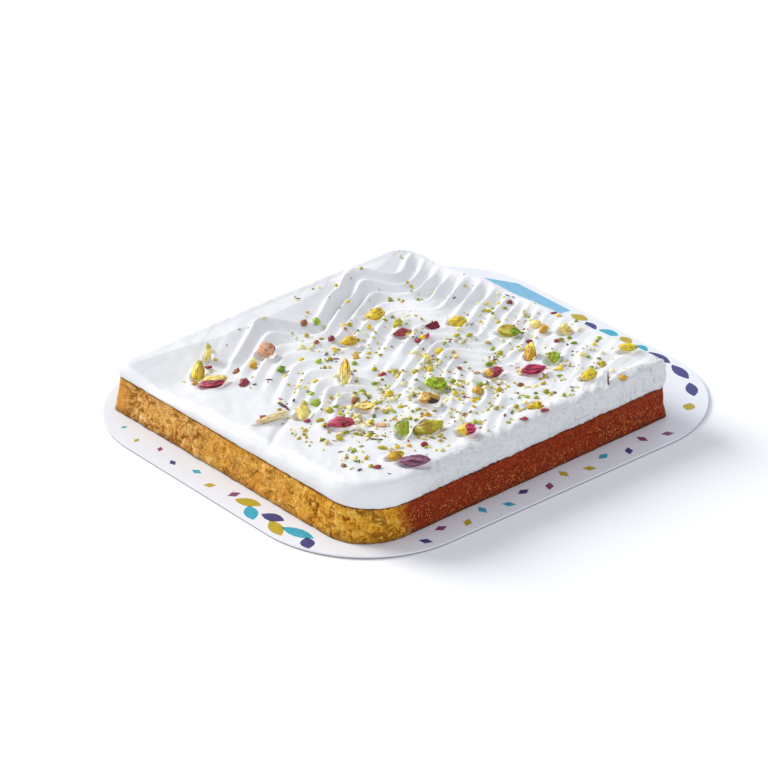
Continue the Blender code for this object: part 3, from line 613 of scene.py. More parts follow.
class Finish:
    """A node-based material, built up with a few short calls."""

    def __init__(self, name, **values):
        self.made = bpy.data.materials.new(name)
        self.made.use_nodes = True
        self.nodes = self.made.node_tree.nodes
        self.links = self.made.node_tree.links
        self.shader = self.nodes["Principled BSDF"]
        for socket, value in values.items():
            self.shader.inputs[socket.replace("_", " ")].default_value = value

    def node(self, kind, values=(), **settings):
        """A node with its inputs set, or linked where the value is the output of another node."""
        node = self.nodes.new(kind)
        for setting, value in settings.items():
            setattr(node, setting, value)
        for socket, value in dict(values).items():
            if hasattr(value, "is_output"):
                self.links.new(value, node.inputs[socket])
            else:
                node.inputs[socket].default_value = value
        return node

    def field(self, name, output="Fac"):
        return self.node("ShaderNodeAttribute", attribute_name=name).outputs[output]

    def place(self):
        return self.node("ShaderNodeTexCoord").outputs["Object"]

    def noise(self, size, detail=3.0, roughness=0.55, upright=1.0):
        """Noise with lumps of the size in millimetres, drawn out in height where upright is below 1."""
        where = self.place()
        if upright < 1:
            drawn = self.node("ShaderNodeVectorMath", {0: where, 1: (1, 1, upright)}, operation="MULTIPLY")
            where = drawn.outputs["Vector"]
        values = {"Vector": where, "Scale": PER_METRE / size, "Detail": detail, "Roughness": roughness}
        return self.node("ShaderNodeTexNoise", values).outputs["Fac"]

    def cells(self, size, where=None, feature="F1"):
        """The distance to the nearest grain's middle, or to the seam between grains, by the feature."""
        values = {"Vector": where or self.place(), "Scale": PER_METRE / size}
        return self.node("ShaderNodeTexVoronoi", values, feature=feature).outputs["Distance"]

    def seams(self, size, sway):
        """The distance to the seam between two lumps, the seams swaying by some millimetres."""
        where = self.place()
        stir = self.node("ShaderNodeTexNoise", {"Vector": where, "Scale": PER_METRE / 6, "Detail": 4.0})
        values = {0: stir.outputs["Color"], 1: (sway * MM,) * 3, 2: where}
        moved = self.node("ShaderNodeVectorMath", values, operation="MULTIPLY_ADD")
        return self.cells(size, moved.outputs["Vector"], "DISTANCE_TO_EDGE")

    def ramp(self, value, *stops):
        """Colours over the value. A stop is a place and a colour, or a number for a grey."""
        ramp = self.node("ShaderNodeValToRGB", {"Fac": value})
        elements = ramp.color_ramp.elements
        while len(elements) < len(stops):
            elements.new(0.5)
        for element, (place, colour) in zip(elements, stops):
            element.position = place
            element.color = (*np.full(3, colour, float), 1)
        return ramp.outputs["Color"]

    def mix(self, factor, a, b, blend="MIX"):
        a, b = (colour if hasattr(colour, "is_output") else (*colour, 1) for colour in (a, b))
        values = {0: factor, 6: a, 7: b}
        return self.node("ShaderNodeMix", values, data_type="RGBA", blend_type=blend).outputs[2]

    def add(self, a, b, operation="ADD"):
        return self.node("ShaderNodeMath", {0: a, 1: b}, operation=operation).outputs[0]

    def times(self, a, b):
        return self.add(a, b, "MULTIPLY")

    def into(self, socket, value):
        self.links.new(value, self.shader.inputs[socket])

    def bump(self, height, depth, strength=1.0):
        """Relief of the depth in millimetres."""
        values = {"Height": height, "Distance": depth * MM, "Strength": strength}
        self.into("Normal", self.node("ShaderNodeBump", values).outputs["Normal"])


def whipped_cream():
    cream = Finish(
        "whipped_cream", Roughness=0.42, Specular_IOR_Level=0.35, Subsurface_Weight=0.2,
        Subsurface_Scale=0.004, Subsurface_Radius=(1.0, 0.9, 0.8),
    )
    airy = cream.field("airy")
    tone = cream.ramp(cream.noise(30, 2), (0.3, (0.81, 0.815, 0.825)), (0.7, (0.85, 0.85, 0.855)))
    froth = cream.noise(1.7, 4, 0.8, upright=0.45)
    patchy = cream.ramp(cream.noise(11, 2), (0.40, 0.15), (0.62, 1))
    # The airy walls get painted light and shade: a whiter foam colour that brightens them, and a painted
    # grey shade in their pores
    pore_shade = cream.times(cream.ramp(froth, (0.38, 1), (0.50, 0)), airy)
    lit_foam = cream.mix(airy, tone, LIT_FOAM_WHITE)
    cream.into("Base Color", cream.mix(cream.times(pore_shade, patchy), lit_foam, PORE_SHADE_GREY))
    cream.into("Roughness", cream.ramp(cream.noise(6), (0.3, 0.36), (0.7, 0.55)))
    cream.bump(cream.times(froth, cream.add(cream.times(airy, 3.2), 0.35)), 0.6, 0.9)
    return cream.made


def baked_semolina():
    """Golden crumb, paler to the left, with painted shade in its pits and cracks and painted light on its
    lumps and grains, and russet crust with golden specks; painted shade darkens the foot and a line under
    the cream.
    """
    cake = Finish("baked_semolina", Roughness=0.6, Specular_IOR_Level=0.12)
    bake = cake.field("bake")
    grains = cake.cells(1.3)
    fine = cake.times(cake.add(cake.noise(1.5, 5, 0.8), -0.5), 1.1)
    # The level paints light and shade on the crumb over a random tone: darker in its pits, lighter on its
    # lumps and on the middles of its grains, and the ramps run from dark hollows to pale highlights
    level = cake.add(cake.add(cake.field("crumb_shade_and_tone"), fine), cake.times(cake.add(grains, -0.5), -0.5))
    pale = cake.ramp(
        level,
        (0.05, (0.34, 0.095, 0.006)),
        (0.34, (0.74, 0.35, 0.06)),
        (0.58, (0.93, 0.54, 0.17)),
        (0.85, (1.0, 0.80, 0.46)),
    )
    deep = cake.ramp(
        level,
        (0.05, (0.30, 0.075, 0.002)),
        (0.34, (0.80, 0.33, 0.016)),
        (0.58, (0.96, 0.51, 0.05)),
        (0.85, (1.0, 0.68, 0.17)),
    )
    mottle = cake.ramp(cake.noise(7, 4), (0.42, 0), (0.62, 0.8))
    halfway = cake.ramp(bake, (0.15, 0.3), (0.5, 1), (0.85, 0.3))
    crumb = cake.mix(cake.times(mottle, halfway), cake.mix(bake, pale, deep), CRUMB_BROWN)
    patches = cake.ramp(cake.noise(12, 3), (0.49, 0), (0.60, 1))
    # Painted shade in the cracks, which the bump also sinks
    cracks = cake.times(cake.ramp(cake.seams(9, 9), (0.02, 0.9), (0.11, 0)), patches)
    crumb = cake.mix(cracks, crumb, CRACK_SHADE_BROWN)
    crumb = cake.mix(cake.field("strip"), crumb, STRIP_GOLD)
    shell = cake.ramp(
        cake.noise(1.8, 6, 0.8),
        (0.34, (0.11, 0.007, 0.001)),
        (0.50, (0.30, 0.026, 0.002)),
        (0.68, (0.54, 0.085, 0.009)),
    )
    speck = cake.times(cake.ramp(grains, (0.18, 1), (0.36, 0)), cake.field("specks"))
    body = cake.mix(cake.field("crust"), crumb, cake.mix(speck, shell, SPECK_GOLD))
    # Painted shade at the foot of the sides and in a line under the cream
    contact_shade = cake.times(cake.field("contact_shade"), 0.75)
    cake.into("Base Color", cake.mix(contact_shade, body, CONTACT_SHADE_BROWN))
    cake.into("Roughness", cake.ramp(cake.noise(3), (0.3, 0.38), (0.7, 0.66)))
    relief = cake.add(cake.noise(1.9, 6, 0.78), cake.times(grains, -0.35))
    cake.bump(cake.add(relief, cake.times(cracks, -0.8)), 1.2)
    return cake.made


def nut_finish(name):
    nut = Finish(name, Roughness=0.45, Subsurface_Weight=0.1, Subsurface_Scale=0.002)
    shade = nut.ramp(nut.noise(1.6, 4, 0.65), (0.3, (0.82, 0.78, 0.7)), (0.6, (1.1, 1.08, 1.05)))
    nut.into("Base Color", nut.mix(1.0, nut.field("tint", "Color"), shade, "MULTIPLY"))
    nut.into("Roughness", nut.ramp(nut.noise(2.5), (0.3, 0.34), (0.7, 0.62)))
    nut.bump(nut.noise(0.6, 4), 0.15, 0.6)
    return nut.made


def card_finish():
    """White coated card, with a grey tone on the lower half of its edge, partly the card's grey core and
    partly painted contact shadow.
    """
    card = Finish("coated_card", Roughness=0.38, Coat_Weight=0.15)
    face = card.ramp(card.noise(60, 2), (0.3, (0.82, 0.84, 0.885)), (0.7, (0.85, 0.87, 0.915)))
    height = card.node("ShaderNodeSeparateXYZ", {"Vector": card.place()}).outputs["Z"]
    edge = card.ramp(card.times(height, PER_METRE / 2), (0.30, 1), (0.55, 0))
    card.into("Base Color", card.mix(edge, face, CARD_CORE_AND_SHADE))
    card.bump(card.noise(1.2, 3), 0.02, 0.4)
    return card.made


def ink_finish(name):
    ink = Finish(name, Roughness=0.4, Coat_Weight=0.15)
    colour = np.array(INKS[name])
    ink.into("Base Color", ink.ramp(ink.noise(3, 3), (0.3, colour * 0.86), (0.7, colour)))
    return ink.made


# Pieces


def make_cream(nut_tree):
    """The cream with its comb marks, turned in a little under its lower edge."""
    u, v = np.meshgrid(fine_lines(HALF_X), fine_lines(HALF_Y), indexing="ij")
    points, airy = cream_surface(u, v)
    settle(points, nut_tree)
    faces = grid_faces(*u.shape)
    index = np.arange(u.size).reshape(u.shape)
    rim = np.concatenate([index[:, 0], index[-1, 1:], index[-2::-1, -1], index[0, -2:0:-1]])
    flat = points.reshape(-1, 3)
    lower = flat[rim] * (0.985, 0.985, 0) + (0, -0.2, CREAM_BOTTOM)
    ring = len(flat) + np.arange(len(rim))
    under = np.stack([rim, ring, np.roll(ring, -1), np.roll(rim, -1)], -1)
    flat = np.concatenate([flat, lower])
    airy = np.concatenate([airy.ravel(), np.zeros(len(rim))])
    faces_all = np.concatenate([faces, under])
    piece = add_piece("cream_whipped", flat, faces_all, whipped_cream(), "cream", airy=airy)
    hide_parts("cream")
    return BVHTree.FromPolygons(flat.tolist(), faces.tolist())


def cake_cover(x, y, z):
    """Where the sides are crust, where they are golden strip, and how deep a gold the crumb is."""
    # The cut face is open crumb as far round the near corner as the photograph shows
    turn = smooth_step(-108, -95, y + 3.5 * grain(x, y, z, 6, 31) + 1.5 * grain(x, y, z, 2, 45)) * (x > 0)
    behind = smooth_step(-112, -88, y + 7 * grain(x, y, z, 9, 50) + 3 * grain(x, y, z, 2.5, 51)) * (x < 0)
    crust = np.clip(np.maximum(turn, np.maximum(behind, y > -60)), 0, 1)
    strip = 1 - smooth_step(-99, -93, x + 2.5 * grain(x, y, z, 6, 32))
    bake = np.clip(0.5 + x / 180 + 0.25 * grain(x, y, z, 16, 41), 0, 1)
    return crust, strip * (1 - crust) * 0.8, bake


def crumb_relief(x, y, z, strip):
    """Lumps and flakes where the cut face is open, and calmer crumb elsewhere."""
    billow = 0.45 * np.abs(grain(x, y, z, 4.4, 33)) + 0.45 * np.abs(grain(x, y, z, 2.3, 34))
    billow = billow + 0.2 * grain(x, y, z, 1.2, 35)
    flakes = smooth_step(0.15, 0.45, grain(x, y, z * 1.8, 7, 36)) * 0.5
    open_crumb = smooth_step(-0.35, 0.25, grain(x, y, z * 1.6, 13, 40)) * (1 - strip)
    calm_crumb = 0.28 * grain(x, y, z, 2.6, 42) + 0.16 * grain(x, y, z, 1.2, 43)
    return (2.1 * (billow - 0.35) + flakes) * open_crumb + calm_crumb * (1 - open_crumb)


def make_cake():
    """The slab's sides: crumb in front, crust behind, and a ring turned in at the top and bottom."""
    u, v = square_edge(round(2 * HALF_X / FINE_SIDE_STEP), round(2 * HALF_Y / FINE_SIDE_STEP))
    x, y, nx, ny = slab_point(u, v)
    rise = np.linspace(0, 1, FINE_SIDE_ROWS + 1)[:, None]
    z = CAKE_BOTTOM + (CAKE_TOP - CAKE_BOTTOM) * rise
    lumps = grain(x, y, z, CRUMB_SIZE, 1) + 0.6 * grain(x, y, z, CRUMB_SIZE * 3, 2)
    depth = CRUST_DEPTH + (CRUMB_DEPTH - CRUST_DEPTH) * np.minimum(ny, 0) ** 2
    depth = depth * (0.5 + 0.5 * smooth_step(0, 0.2, rise)) * (1 - 0.6 * smooth_step(0.85, 1, rise))
    out = by_side(FLARE, nx, ny) * (1 - rise) ** 1.4 + depth * lumps - 0.4
    crust, strip, bake = cake_cover(x, y, z)
    crumb = crumb_relief(x, y, z, strip)
    grit = 0.10 * grain(x, y, z, 1.3, 37) + 0.12 * grain(x, y, z, 3.0, 38)
    fine = crumb * (1 - crust) + grit * crust
    out = out + fine * (1 - 0.5 * smooth_step(0.9, 1, rise)) * (0.3 + 0.7 * smooth_step(0, 0.14, rise))
    points = np.stack([x + nx * out, y + ny * out, z + 0 * out], -1)
    # Painted shade and light from the crumb's relief, darker in its hollows and lighter on its lumps, over a
    # random tone; painted shade also darkens the top band under the cream
    crumb_shade_and_tone = 0.43 + 0.36 * crumb + 0.14 * grain(x, y, z, 11, 39) + 0.2 * grain(x, y, z, 1.5, 44)
    crumb_shade_and_tone = np.clip(crumb_shade_and_tone - 0.3 * smooth_step(0.93, 1, rise), 0, 1)
    # Painted shade: darkest at the foot where the cake meets the board, and in a line at the top under the
    # cream
    contact_shade = 0.75 - 0.75 * smooth_step(0.0, 0.2, rise + 0.06 * grain(x, y, 0, 5, 46))
    contact_shade = contact_shade + smooth_step(0.92, 0.97, rise + 0.02 * grain(x, y, 0, 3, 47))
    specks = 1 - 0.75 * smooth_step(0.42, 0.8, rise + 0.3 * grain(x, y, z, 18, 48))
    specks = specks * smooth_step(-0.5, 0.3, grain(x, y, z, 2.6, 49))
    low = points[:1] * (0.9, 0.9, 0) + (0, 0, CAKE_BOTTOM)
    high = points[-1:] * (0.9, 0.9, 0) + (0, 0, CAKE_TOP)
    points = np.concatenate([low, points, high])
    faces = grid_faces(*points.shape[:2], closed=True)[:, ::-1]
    fields = {"crust": crust, "crumb_shade_and_tone": crumb_shade_and_tone, "bake": bake, "strip": strip, "contact_shade": contact_shade, "specks": specks}
    fields = {name: np.pad(field, ((1, 1), (0, 0))).ravel() for name, field in fields.items()}
    piece = add_piece("cake_baked", points.reshape(-1, 3), faces, baked_semolina(), "semolina", **fields)
    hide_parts("cake")


def unit_ball(facets):
    ball = bmesh.new()
    bmesh.ops.create_icosphere(ball, subdivisions=facets, radius=1)
    directions = np.array([v.co[:] for v in ball.verts])
    faces = np.array([[v.index for v in face.verts] for face in ball.faces])
    ball.free()
    return directions, faces


def tilted(points, heading, tilt, axis="Y"):
    """Points turned about one axis by the tilt, and then about Z by the heading, both in radians."""
    turn = Matrix.Rotation(heading, 3, "Z") @ Matrix.Rotation(tilt, 3, axis)
    return points @ np.array(turn).T


def on_nut(p, along, across, size, seed):
    """Noise over a nut piece, drawn out along it where along is less than across."""
    return grain(p[:, 0] * along, p[:, 1] * across, p[:, 2] * across, size, seed)


def nut_points(directions, length, width, height, kind, seed):
    """A nut piece as in the part, with how freshly cut each point is."""
    dice = np.random.default_rng(seed)
    p = directions.copy()
    cut = np.zeros(len(p))
    if kind in ("kernel", "half"):
        pointed = 1 - 0.28 * p[:, 0] ** 2
        p[:, 1:] *= pointed[:, None]
    if kind in ("kernel", "half", "chunk"):
        p *= 1 + 0.16 * on_nut(p, 1, 1, 0.7, seed + 30)[:, None]
    if kind == "kernel":
        for _ in range(3):
            turn = dice.uniform(0, 2 * pi)
            normal = np.array([0.5 * cos(turn), 0.6 * sin(turn), 0.6])
            normal /= np.linalg.norm(normal)
            p -= np.maximum(p @ normal - dice.uniform(0.72, 0.85), 0)[:, None] * normal * 0.8
    if kind == "half":
        limit = 0.12 - 0.25 * (1 - p[:, 0] ** 2 - p[:, 1] ** 2)
        cut = smooth_step(0.0, 0.04, p[:, 2] - limit)
        p[:, 2] = np.minimum(p[:, 2], limit)
        p[:, 2] += 0.3
    if kind in ("chunk", "ragged"):
        cuts = 5 if kind == "chunk" else 3
        for _ in range(cuts):
            turn = dice.uniform(0, 2 * pi)
            tilt = dice.uniform(-0.3, 0.9)
            normal = np.array([cos(turn) * cos(tilt), sin(turn) * cos(tilt), sin(tilt)])
            over = np.maximum(p @ normal - dice.uniform(0.45, 0.75), 0)
            p -= over[:, None] * normal
            cut = np.maximum(cut, smooth_step(0.0, 0.05, over))
    if kind == "ragged":
        p *= 1 + 0.4 * on_nut(p, 1, 1, 0.5, seed)[:, None]
    if kind == "flake":
        slim = np.maximum(np.abs(p[:, 0]) + np.abs(p[:, 1]), 1)
        p[:, :2] /= slim[:, None]
        p[:, 2] += 0.5 * (1 - p[:, 0] ** 2) - 0.4
    if kind == "sliver":
        p[:, 1] += 0.9 * (p[:, 0] ** 2 - 0.4)
        p[:, 1:] *= 1 - 0.45 * p[:, :1] ** 2
    return p, cut, p * np.array([length, width, height]) / 2


def skin_cover(p, cut, kind, split, blotch):
    """Where skin covers the flesh: round a half and on its rim, or else from the split on."""
    if kind == "half":
        lip = smooth_step(0.66, 0.76, np.hypot(p[:, 0], p[:, 1]) + 0.12 * blotch)
        return np.maximum(1 - cut, lip * smooth_step(-0.2, 0.1, p[:, 1] + 0.5 * blotch))
    *towards, limit = split if isinstance(split, tuple) else (1, 0, 0, split)
    if limit <= -1:
        return np.ones(len(p))
    return smooth_step(-0.12, 0.12, p @ towards - limit + 0.35 * blotch) * (1 - 0.8 * cut)


def make_nut(name, seed, directions, faces, finishes):
    """One large piece with wrinkled skin and a broken face, where the part has it."""
    _, _, length, width, height, heading, pitch, kind, flesh, skin, split = NUTS[name]
    p, cut, points = nut_points(directions, length, width, height, kind, seed)
    wrinkle = on_nut(p, 0.7, 2.2, 0.5, seed + 50)
    streak = on_nut(p, 0.8, 3.4, 0.5, seed + 130)
    fleck = on_nut(p, 3, 3, 0.5, seed + 90)
    blotch = on_nut(p, 1, 1, 0.7, seed + 110)
    rough = 0.5 * wrinkle * (1 - cut) + 0.3 * fleck * (cut + 0.3)
    shred = np.zeros(len(p))
    if kind == "ragged":
        shred = 2 * np.abs(on_nut(p, 1, 1, 0.3, seed + 70)) - 0.5
        shred = shred + np.abs(on_nut(p, 1, 1, 0.16, seed + 75)) - 0.3
        rough = rough + 0.7 * shred
    if kind == "flake":
        ribs = grain(p[:, 0] * 1.2 + p[:, 1] * 2.4, p[:, 1] * 1.1, 0, 0.42, seed + 80)
        rough = rough + 0.7 * ribs
        streak = streak + 1.2 * ribs
    points += directions * rough[:, None]
    covered = skin_cover(p, cut, kind, split, blotch)[:, None]
    # The fleck and wrinkle terms use the noise that raises the surface, so the flesh is lighter on its
    # bumps: painted light and shade over a random tone
    flesh = np.array(TINTS[flesh]) * (1 + 0.12 * fleck + 0.12 * wrinkle)[:, None]
    flesh = flesh * (1 + blotch[:, None] * (0.05, 0.2, 0.1))
    scrap = 0.6 * smooth_step(0.22, 0.42, on_nut(p, 0.8, 1.7, 0.42, seed + 140))[:, None]
    flesh = flesh * (1 - scrap) + np.array(TINTS["brown"]) * scrap
    # The wrinkle term, and on a flake its ribs, lighten the skin where they raise it and darken it where
    # they sink it, which is painted light and shade; the rest of the streaks is the skin's own colour
    light = 1 + 0.6 * np.maximum(wrinkle, -0.6) + 1.3 * np.maximum(streak, -0.4) + 0.2 * blotch
    skin = np.array(TINTS[skin]) * light[:, None]
    tint = flesh * (1 - covered) + skin * covered
    # Ragged pieces are darker where shredded in and lighter where shredded out: painted shade and light
    tint = np.clip(tint * np.clip(1 + 0.6 * shred, 0.35, 1.5)[:, None], 0, 1)
    points = tilted(points, radians(heading), -radians(pitch))
    low, high = (np.array(corner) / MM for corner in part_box(name))
    points = points * np.minimum((high - low) / np.ptp(points, axis=0), 1)
    points += (low + high) / 2 - (points.min(0) + points.max(0)) / 2
    slot = "nut_skin" if any(word in name for word in DARK_WORDS) else "nut_green"
    piece = add_piece(name + "_fine", points, faces, finishes[slot], slot, tint=tint)
    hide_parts(name)
    return points


def make_nuts():
    directions, faces = unit_ball(FINE_FACETS)
    finishes = {"nut_green": nut_finish("pistachio_flesh"), "nut_skin": nut_finish("pistachio_skin")}
    made = [make_nut(name, seed, directions, faces, finishes) for seed, name in enumerate(NUTS, 1)]
    points, faces, _ = join([(points, faces, directions) for points in made])
    return BVHTree.FromPolygons(points.tolist(), faces.tolist())


def bit_density(x, y):
    return 0.06 + 0.75 * spot(x, y, 48, 5, 62, 85) + 0.5 * spot(x, y, 40, -75, 45, 38)


def clear_of_nuts(x, y, reach):
    return all(
        hypot(x - nut[0], y - nut[1]) > nut[2] / 2 + reach + BIT_CLEARANCE for nut in NUTS.values()
    )


def bit_places():
    """x, y, size and seed of every bit that the part has fused to its cream."""
    places = []
    for seed, (x, y, size, _) in enumerate(PLACED_BITS):
        if all(nut_reach(nut, x, y, size * 0.6 + GAP) >= 1 for nut in NUTS.values()):
            places.append((x, y, size, seed))
    dice = np.random.default_rng(SCATTER_SEED)
    while len(places) < len(PLACED_BITS) + SCATTERED_BITS:
        x, y = (dice.uniform(*span) for span in BIT_FIELD)
        size = dice.uniform(BIT_SMALLEST, BIT_LARGEST)
        if dice.uniform() > bit_density(x, y) or not clear_of_nuts(x, y, size / 2):
            continue
        if all(hypot(x - other[0], y - other[1]) > (size + other[2]) * 0.8 for other in places):
            places.append((x, y, size, len(places)))
    return places


def surface_under(tree, x, y):
    hit = tree.ray_cast(Vector((x, y, 100)), Vector((0, 0, -1)))[0]
    return hit.z if hit else CREAM_BOTTOM


def broken(points, faces, seed, depth):
    """A coarse piece with its facets kept and their surface broken up."""
    shape = bmesh.new()
    corners = [shape.verts.new(p) for p in points]
    for face in faces:
        shape.faces.new([corners[k] for k in face])
    bmesh.ops.subdivide_edges(shape, edges=shape.edges[:], cuts=3, use_grid_fill=True)
    shape.verts.ensure_lookup_table()
    shape.verts.index_update()
    shape.normal_update()
    fine = np.array([v.co[:] for v in shape.verts])
    normals = np.array([v.normal[:] for v in shape.verts])
    bmesh.ops.triangulate(shape, faces=shape.faces[:])
    fine_faces = np.array([[v.index for v in face.verts] for face in shape.faces])
    shape.free()
    lumps = grain(fine[:, 0], fine[:, 1], fine[:, 2], depth * 4, seed)
    return fine + normals * (lumps * depth)[:, None], fine_faces, lumps


def uneven_ball(dice, directions, stretch, uneven):
    return directions * (1 + dice.uniform(-uneven, uneven, len(directions)))[:, None] * stretch


def make_bits(tree, finish):
    """The middle-sized bits and the splinters of skin, one piece for each kind of colour."""
    directions, faces = unit_ball(1)
    kinds = {name: [] for name, _, _ in CRUMB_KINDS}
    where = {tint: name for name, tints, _ in CRUMB_KINDS for tint in tints} | BIT_KINDS

    def add_bit(points, seed, depth, tint, mottle):
        fine, fine_faces, lumps = broken(points, faces, seed, depth)
        # The lumps that break up the surface also set the colour, lighter on bumps and darker in dents: a
        # mottle that is partly painted shade
        colour = np.array(TINTS[tint]) * (1 + mottle * lumps)[:, None]
        kinds[where[tint]].append((fine, fine_faces, np.clip(colour, 0, 1)))

    for x, y, size, seed in bit_places():
        dice = np.random.default_rng(BIT_SEED + seed)
        stretch = np.array([size, size * dice.uniform(0.65, 0.95), size * dice.uniform(0.6, 0.85)]) / 2
        points = uneven_ball(dice, directions, stretch, 0.18)
        points = tilted(points, dice.uniform(0, 2 * pi), dice.uniform(-0.5, 0.5))
        points += (x, y, surface_under(tree, x, y) + stretch[2] * 0.35)
        placed = seed < len(PLACED_BITS)
        tint = PLACED_BITS[seed][3] if placed else SCATTERED_TINTS[seed % len(SCATTERED_TINTS)]
        add_bit(points, BIT_BREAK_SEED + seed, 0.05 * size, tint, 0.25)
    for seed, (x, y, length, width, height, heading, pitch, tint) in enumerate(SPLINTERS):
        dice = np.random.default_rng(SPLINTER_SEED + seed)
        points = uneven_ball(dice, directions, np.array([length, width, height]) / 2, 0.25)
        points = tilted(points, radians(heading), -radians(pitch))
        points += (x, y, surface_under(tree, x, y) + height * 0.3 + length * sin(radians(pitch)) * 0.4)
        add_bit(points, SPLINTER_BREAK_SEED + seed, 0.25, tint, 0.4)
    for name, parts in kinds.items():
        points, faces, tints = join(parts)
        add_piece(name.replace("crumbs", "bits"), points, faces, finish, "nut_green", tint=tints)


def crumb_density(x, y):
    right = spot(x, y, 55, 5, 52, 80)
    front = spot(x, y, 62, -62, 38, 36)
    return 0.05 + 0.85 * right + 0.65 * front + 0.16 * spot(x, y, -35, -40, 40, 60)


def make_crumbs(tree, finish):
    """Crumbs of chopped nut over the cream, thickest on the right, one piece for each kind."""
    dice = np.random.default_rng(CRUMB_SEED)
    directions, faces = unit_ball(1)
    nuts = np.array([nut[:4] for nut in NUTS.values()])
    shares = np.cumsum([share for _, _, share in CRUMB_KINDS])
    kinds = [[] for _ in CRUMB_KINDS]
    made = 0
    while made < CRUMBS:
        x, y = (dice.uniform(*span) for span in CRUMB_FIELD)
        size = CRUMB_SMALLEST + (CRUMB_LARGEST - CRUMB_SMALLEST) * dice.uniform() ** 1.9
        clump = 0.22 + 1.3 * (grain(x, y, 0, 9, 42) > 0.12)
        if dice.uniform() > crumb_density(x, y) * clump:
            continue
        if (np.hypot(nuts[:, 0] - x, nuts[:, 1] - y) < nuts[:, 3] / 2 + size / 2).any():
            continue
        made += 1
        kind = int(np.searchsorted(shares, dice.uniform() * shares[-1]))
        name, tints, _ = CRUMB_KINDS[kind]
        stretch = size * np.array([1, dice.uniform(0.45, 0.9), dice.uniform(0.3, 0.75)]) / 2
        # Skin breaks into longer and thinner scraps than flesh
        if name == "crumbs_maroon":
            stretch *= (1.2, 0.7, 0.5)
        points = uneven_ball(dice, directions, stretch, 0.25)
        points = tilted(points, dice.uniform(0, 2 * pi), dice.uniform(-0.6, 0.6), "X")
        points += (x, y, surface_under(tree, x, y) + stretch[2] * 0.3)
        colour = np.array(TINTS[tints[int(dice.integers(len(tints)))]]) * dice.uniform(0.65, 1.2)
        kinds[kind].append((points, faces, np.tile(np.clip(colour, 0, 1), (len(points), 1))))
    for (name, _, _), parts in zip(CRUMB_KINDS, kinds):
        points, faces, tints = join(parts)
        add_piece(name, points, faces, finish, "nut_green", smooth=False, tint=tints)


def flat_shapes(name, outlines):
    """Flat shapes printed on the board, as one thin piece."""
    points = []
    faces = []
    for outline in outlines:
        count = len(outline)
        first = len(points)
        points += [(x, y, z) for z in (BOARD_T, BOARD_T + PRINT_DEPTH) for x, y in outline]
        faces.append(tuple(first + count + k for k in range(count)))
        faces.append(tuple(first + k for k in reversed(range(count))))
        for k in range(count):
            after = (k + 1) % count
            faces.append((first + k, first + after, first + count + after, first + count + k))
    mesh = bpy.data.meshes.new(name)
    mesh.from_pydata([tuple(c * MM for c in p) for p in points], [], faces)
    mesh.materials.append(ink_finish(name))
    piece = add_object(name, mesh)
    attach(piece, "root")


def placed_outline(outline, x, y, heading):
    c = cos(radians(heading))
    s = sin(radians(heading))
    return [(x + px * c - py * s, y + px * s + py * c) for px, py in outline]


def rhombus(x, y, length, width, heading):
    corners = ((length / 2, 0), (0, width / 2), (-length / 2, 0), (0, -width / 2))
    return placed_outline(corners, x, y, heading)


def leaf(x, y, length, width, heading):
    turns = [k * pi / 8 for k in range(16)]
    edge = [(length / 2 * cos(turn), width / 2 * sin(turn) * abs(sin(turn))) for turn in turns]
    return placed_outline(edge, x, y, heading)


def make_print():
    """A made-up border of rhombi on three sides, with leaves in front, and leaves and a bar behind."""
    shapes = {name: [] for name in INKS}
    for k in range(13):
        x = BOARD_X / 2 - PRINT_MARGIN + 2.5 * (-1) ** k
        shapes[BORDER_INKS[(k * 3 + k // 4) % 4]].append(rhombus(x, -96 + 15.5 * k, 8.4, 5.2, 35 + 47 * k))
    for k in range(7):
        y = PRINT_MARGIN - BOARD_Y / 2 + 2 * (-1) ** k
        length = 4.2 + 0.7 * k
        shape = rhombus(-84 + 17 * k, y, length, 0.65 * length, 70 + 31 * k)
        shapes[BORDER_INKS[(k + 1) % 4]].append(shape)
    for k in range(9):
        x = LEFT_MARGIN - BOARD_X / 2 - 2 * (-1) ** k
        shapes[BORDER_INKS[(k + 2) % 4]].append(rhombus(x, -92 + 23 * k, 5.6, 3.6, 20 + 53 * k))
    for leaves, width in ((FRONT_LEAVES, FRONT_LEAF_WIDTH), (BACK_LEAVES, BACK_LEAF_WIDTH)):
        for x, y, heading, name, length in leaves:
            shapes[name].append(leaf(x, y, length, width, heading))
    shapes["ink_sky"].append(SKY_BAR)
    for name, outlines in shapes.items():
        flat_shapes(name, outlines)


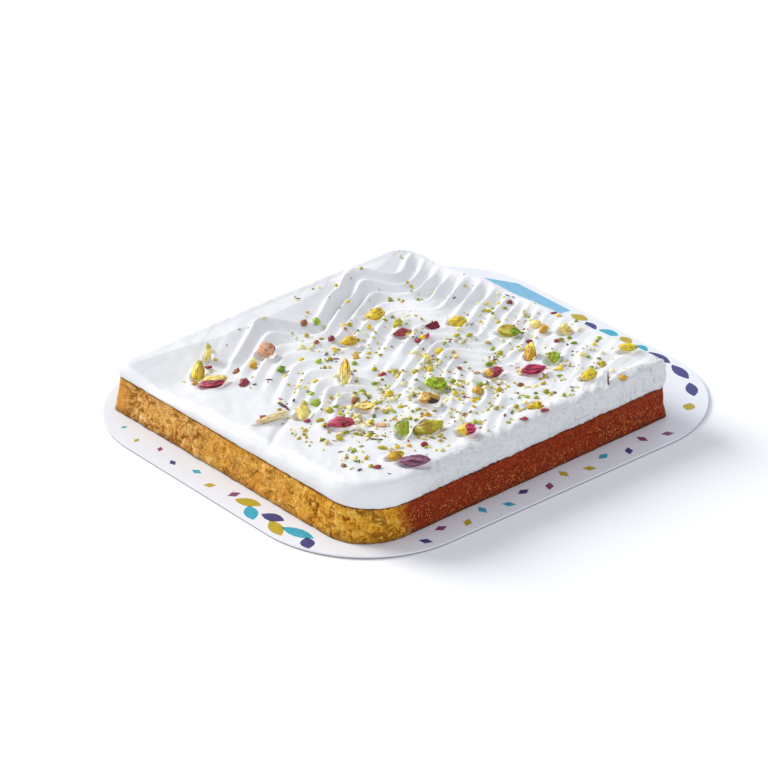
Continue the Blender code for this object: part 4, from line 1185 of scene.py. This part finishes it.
def make_stage():
    corners = [(x * FLOOR_HALF, y * FLOOR_HALF, 0) for x, y in ((-1, -1), (1, -1), (1, 1), (-1, 1))]
    mesh = bpy.data.meshes.new("floor")
    mesh.from_pydata(corners, [], [(0, 1, 2, 3)])
    pale = Finish("floor_pale", Roughness=0.9, Specular_IOR_Level=0.1)
    tone = pale.ramp(pale.noise(400, 2), (0.3, (0.94, 0.942, 0.945)), (0.7, (0.95, 0.952, 0.955)))
    pale.into("Base Color", tone)
    mesh.materials.append(pale.made)
    floor = add_object("floor", mesh)


def look_back(thing, towards):
    """Turn a camera or a light so that it looks back from the direction that it stands in."""
    thing.rotation_euler = (-towards).to_track_quat("-Z", "Y").to_euler()


def make_camera():
    tilt = radians(ELEVATION)
    turn = radians(AZIMUTH)
    towards = Vector((sin(turn) * cos(tilt), -cos(turn) * cos(tilt), sin(tilt)))
    data = bpy.data.cameras.new("camera")
    data.lens = LENS
    data.sensor_width = SENSOR
    camera = add_object("camera", data)
    camera.location = TARGET + towards * DISTANCE
    look_back(camera, towards)
    bpy.context.scene.camera = camera


def make_lights():
    scene = bpy.context.scene
    world = bpy.data.worlds.new("studio")
    world.use_nodes = True
    sky = world.node_tree.nodes["Background"]
    sky.inputs["Color"].default_value = (*SKY_COLOUR, 1)
    sky.inputs["Strength"].default_value = SKY_STRENGTH
    scene.world = world
    turn = radians(AZIMUTH)
    right = Vector((cos(turn), sin(turn), 0))
    away = Vector((-sin(turn), cos(turn), 0))
    sun = bpy.data.lights.new("key", "SUN")
    sun.energy = SUN_ENERGY
    sun.angle = radians(SUN_ANGLE)
    sun.color = SUN_COLOUR
    towards_sun = SUN_FROM[0] * right + SUN_FROM[1] * away + Vector((0, 0, SUN_FROM[2]))
    look_back(add_object("key", sun), towards_sun.normalized())
    soft = bpy.data.lights.new("fill", "AREA")
    soft.size = FILL_SIZE
    soft.energy = FILL_ENERGY
    soft.color = FILL_COLOUR
    towards_fill = Vector(FILL_FROM).normalized()
    fill = add_object("fill", soft)
    fill.location = towards_fill * FILL_DISTANCE
    look_back(fill, towards_fill)
    scene.view_settings.view_transform = "Standard"


make_camera()
make_lights()
make_stage()
cream_tree = make_cream(make_nuts())
make_cake()
nut_look = nut_finish("pistachio_crumb")
make_bits(cream_tree, nut_look)
make_crumbs(cream_tree, nut_look)
make_print()
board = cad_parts["board"]
board.data.materials.clear()
board.data.materials.append(card_finish())
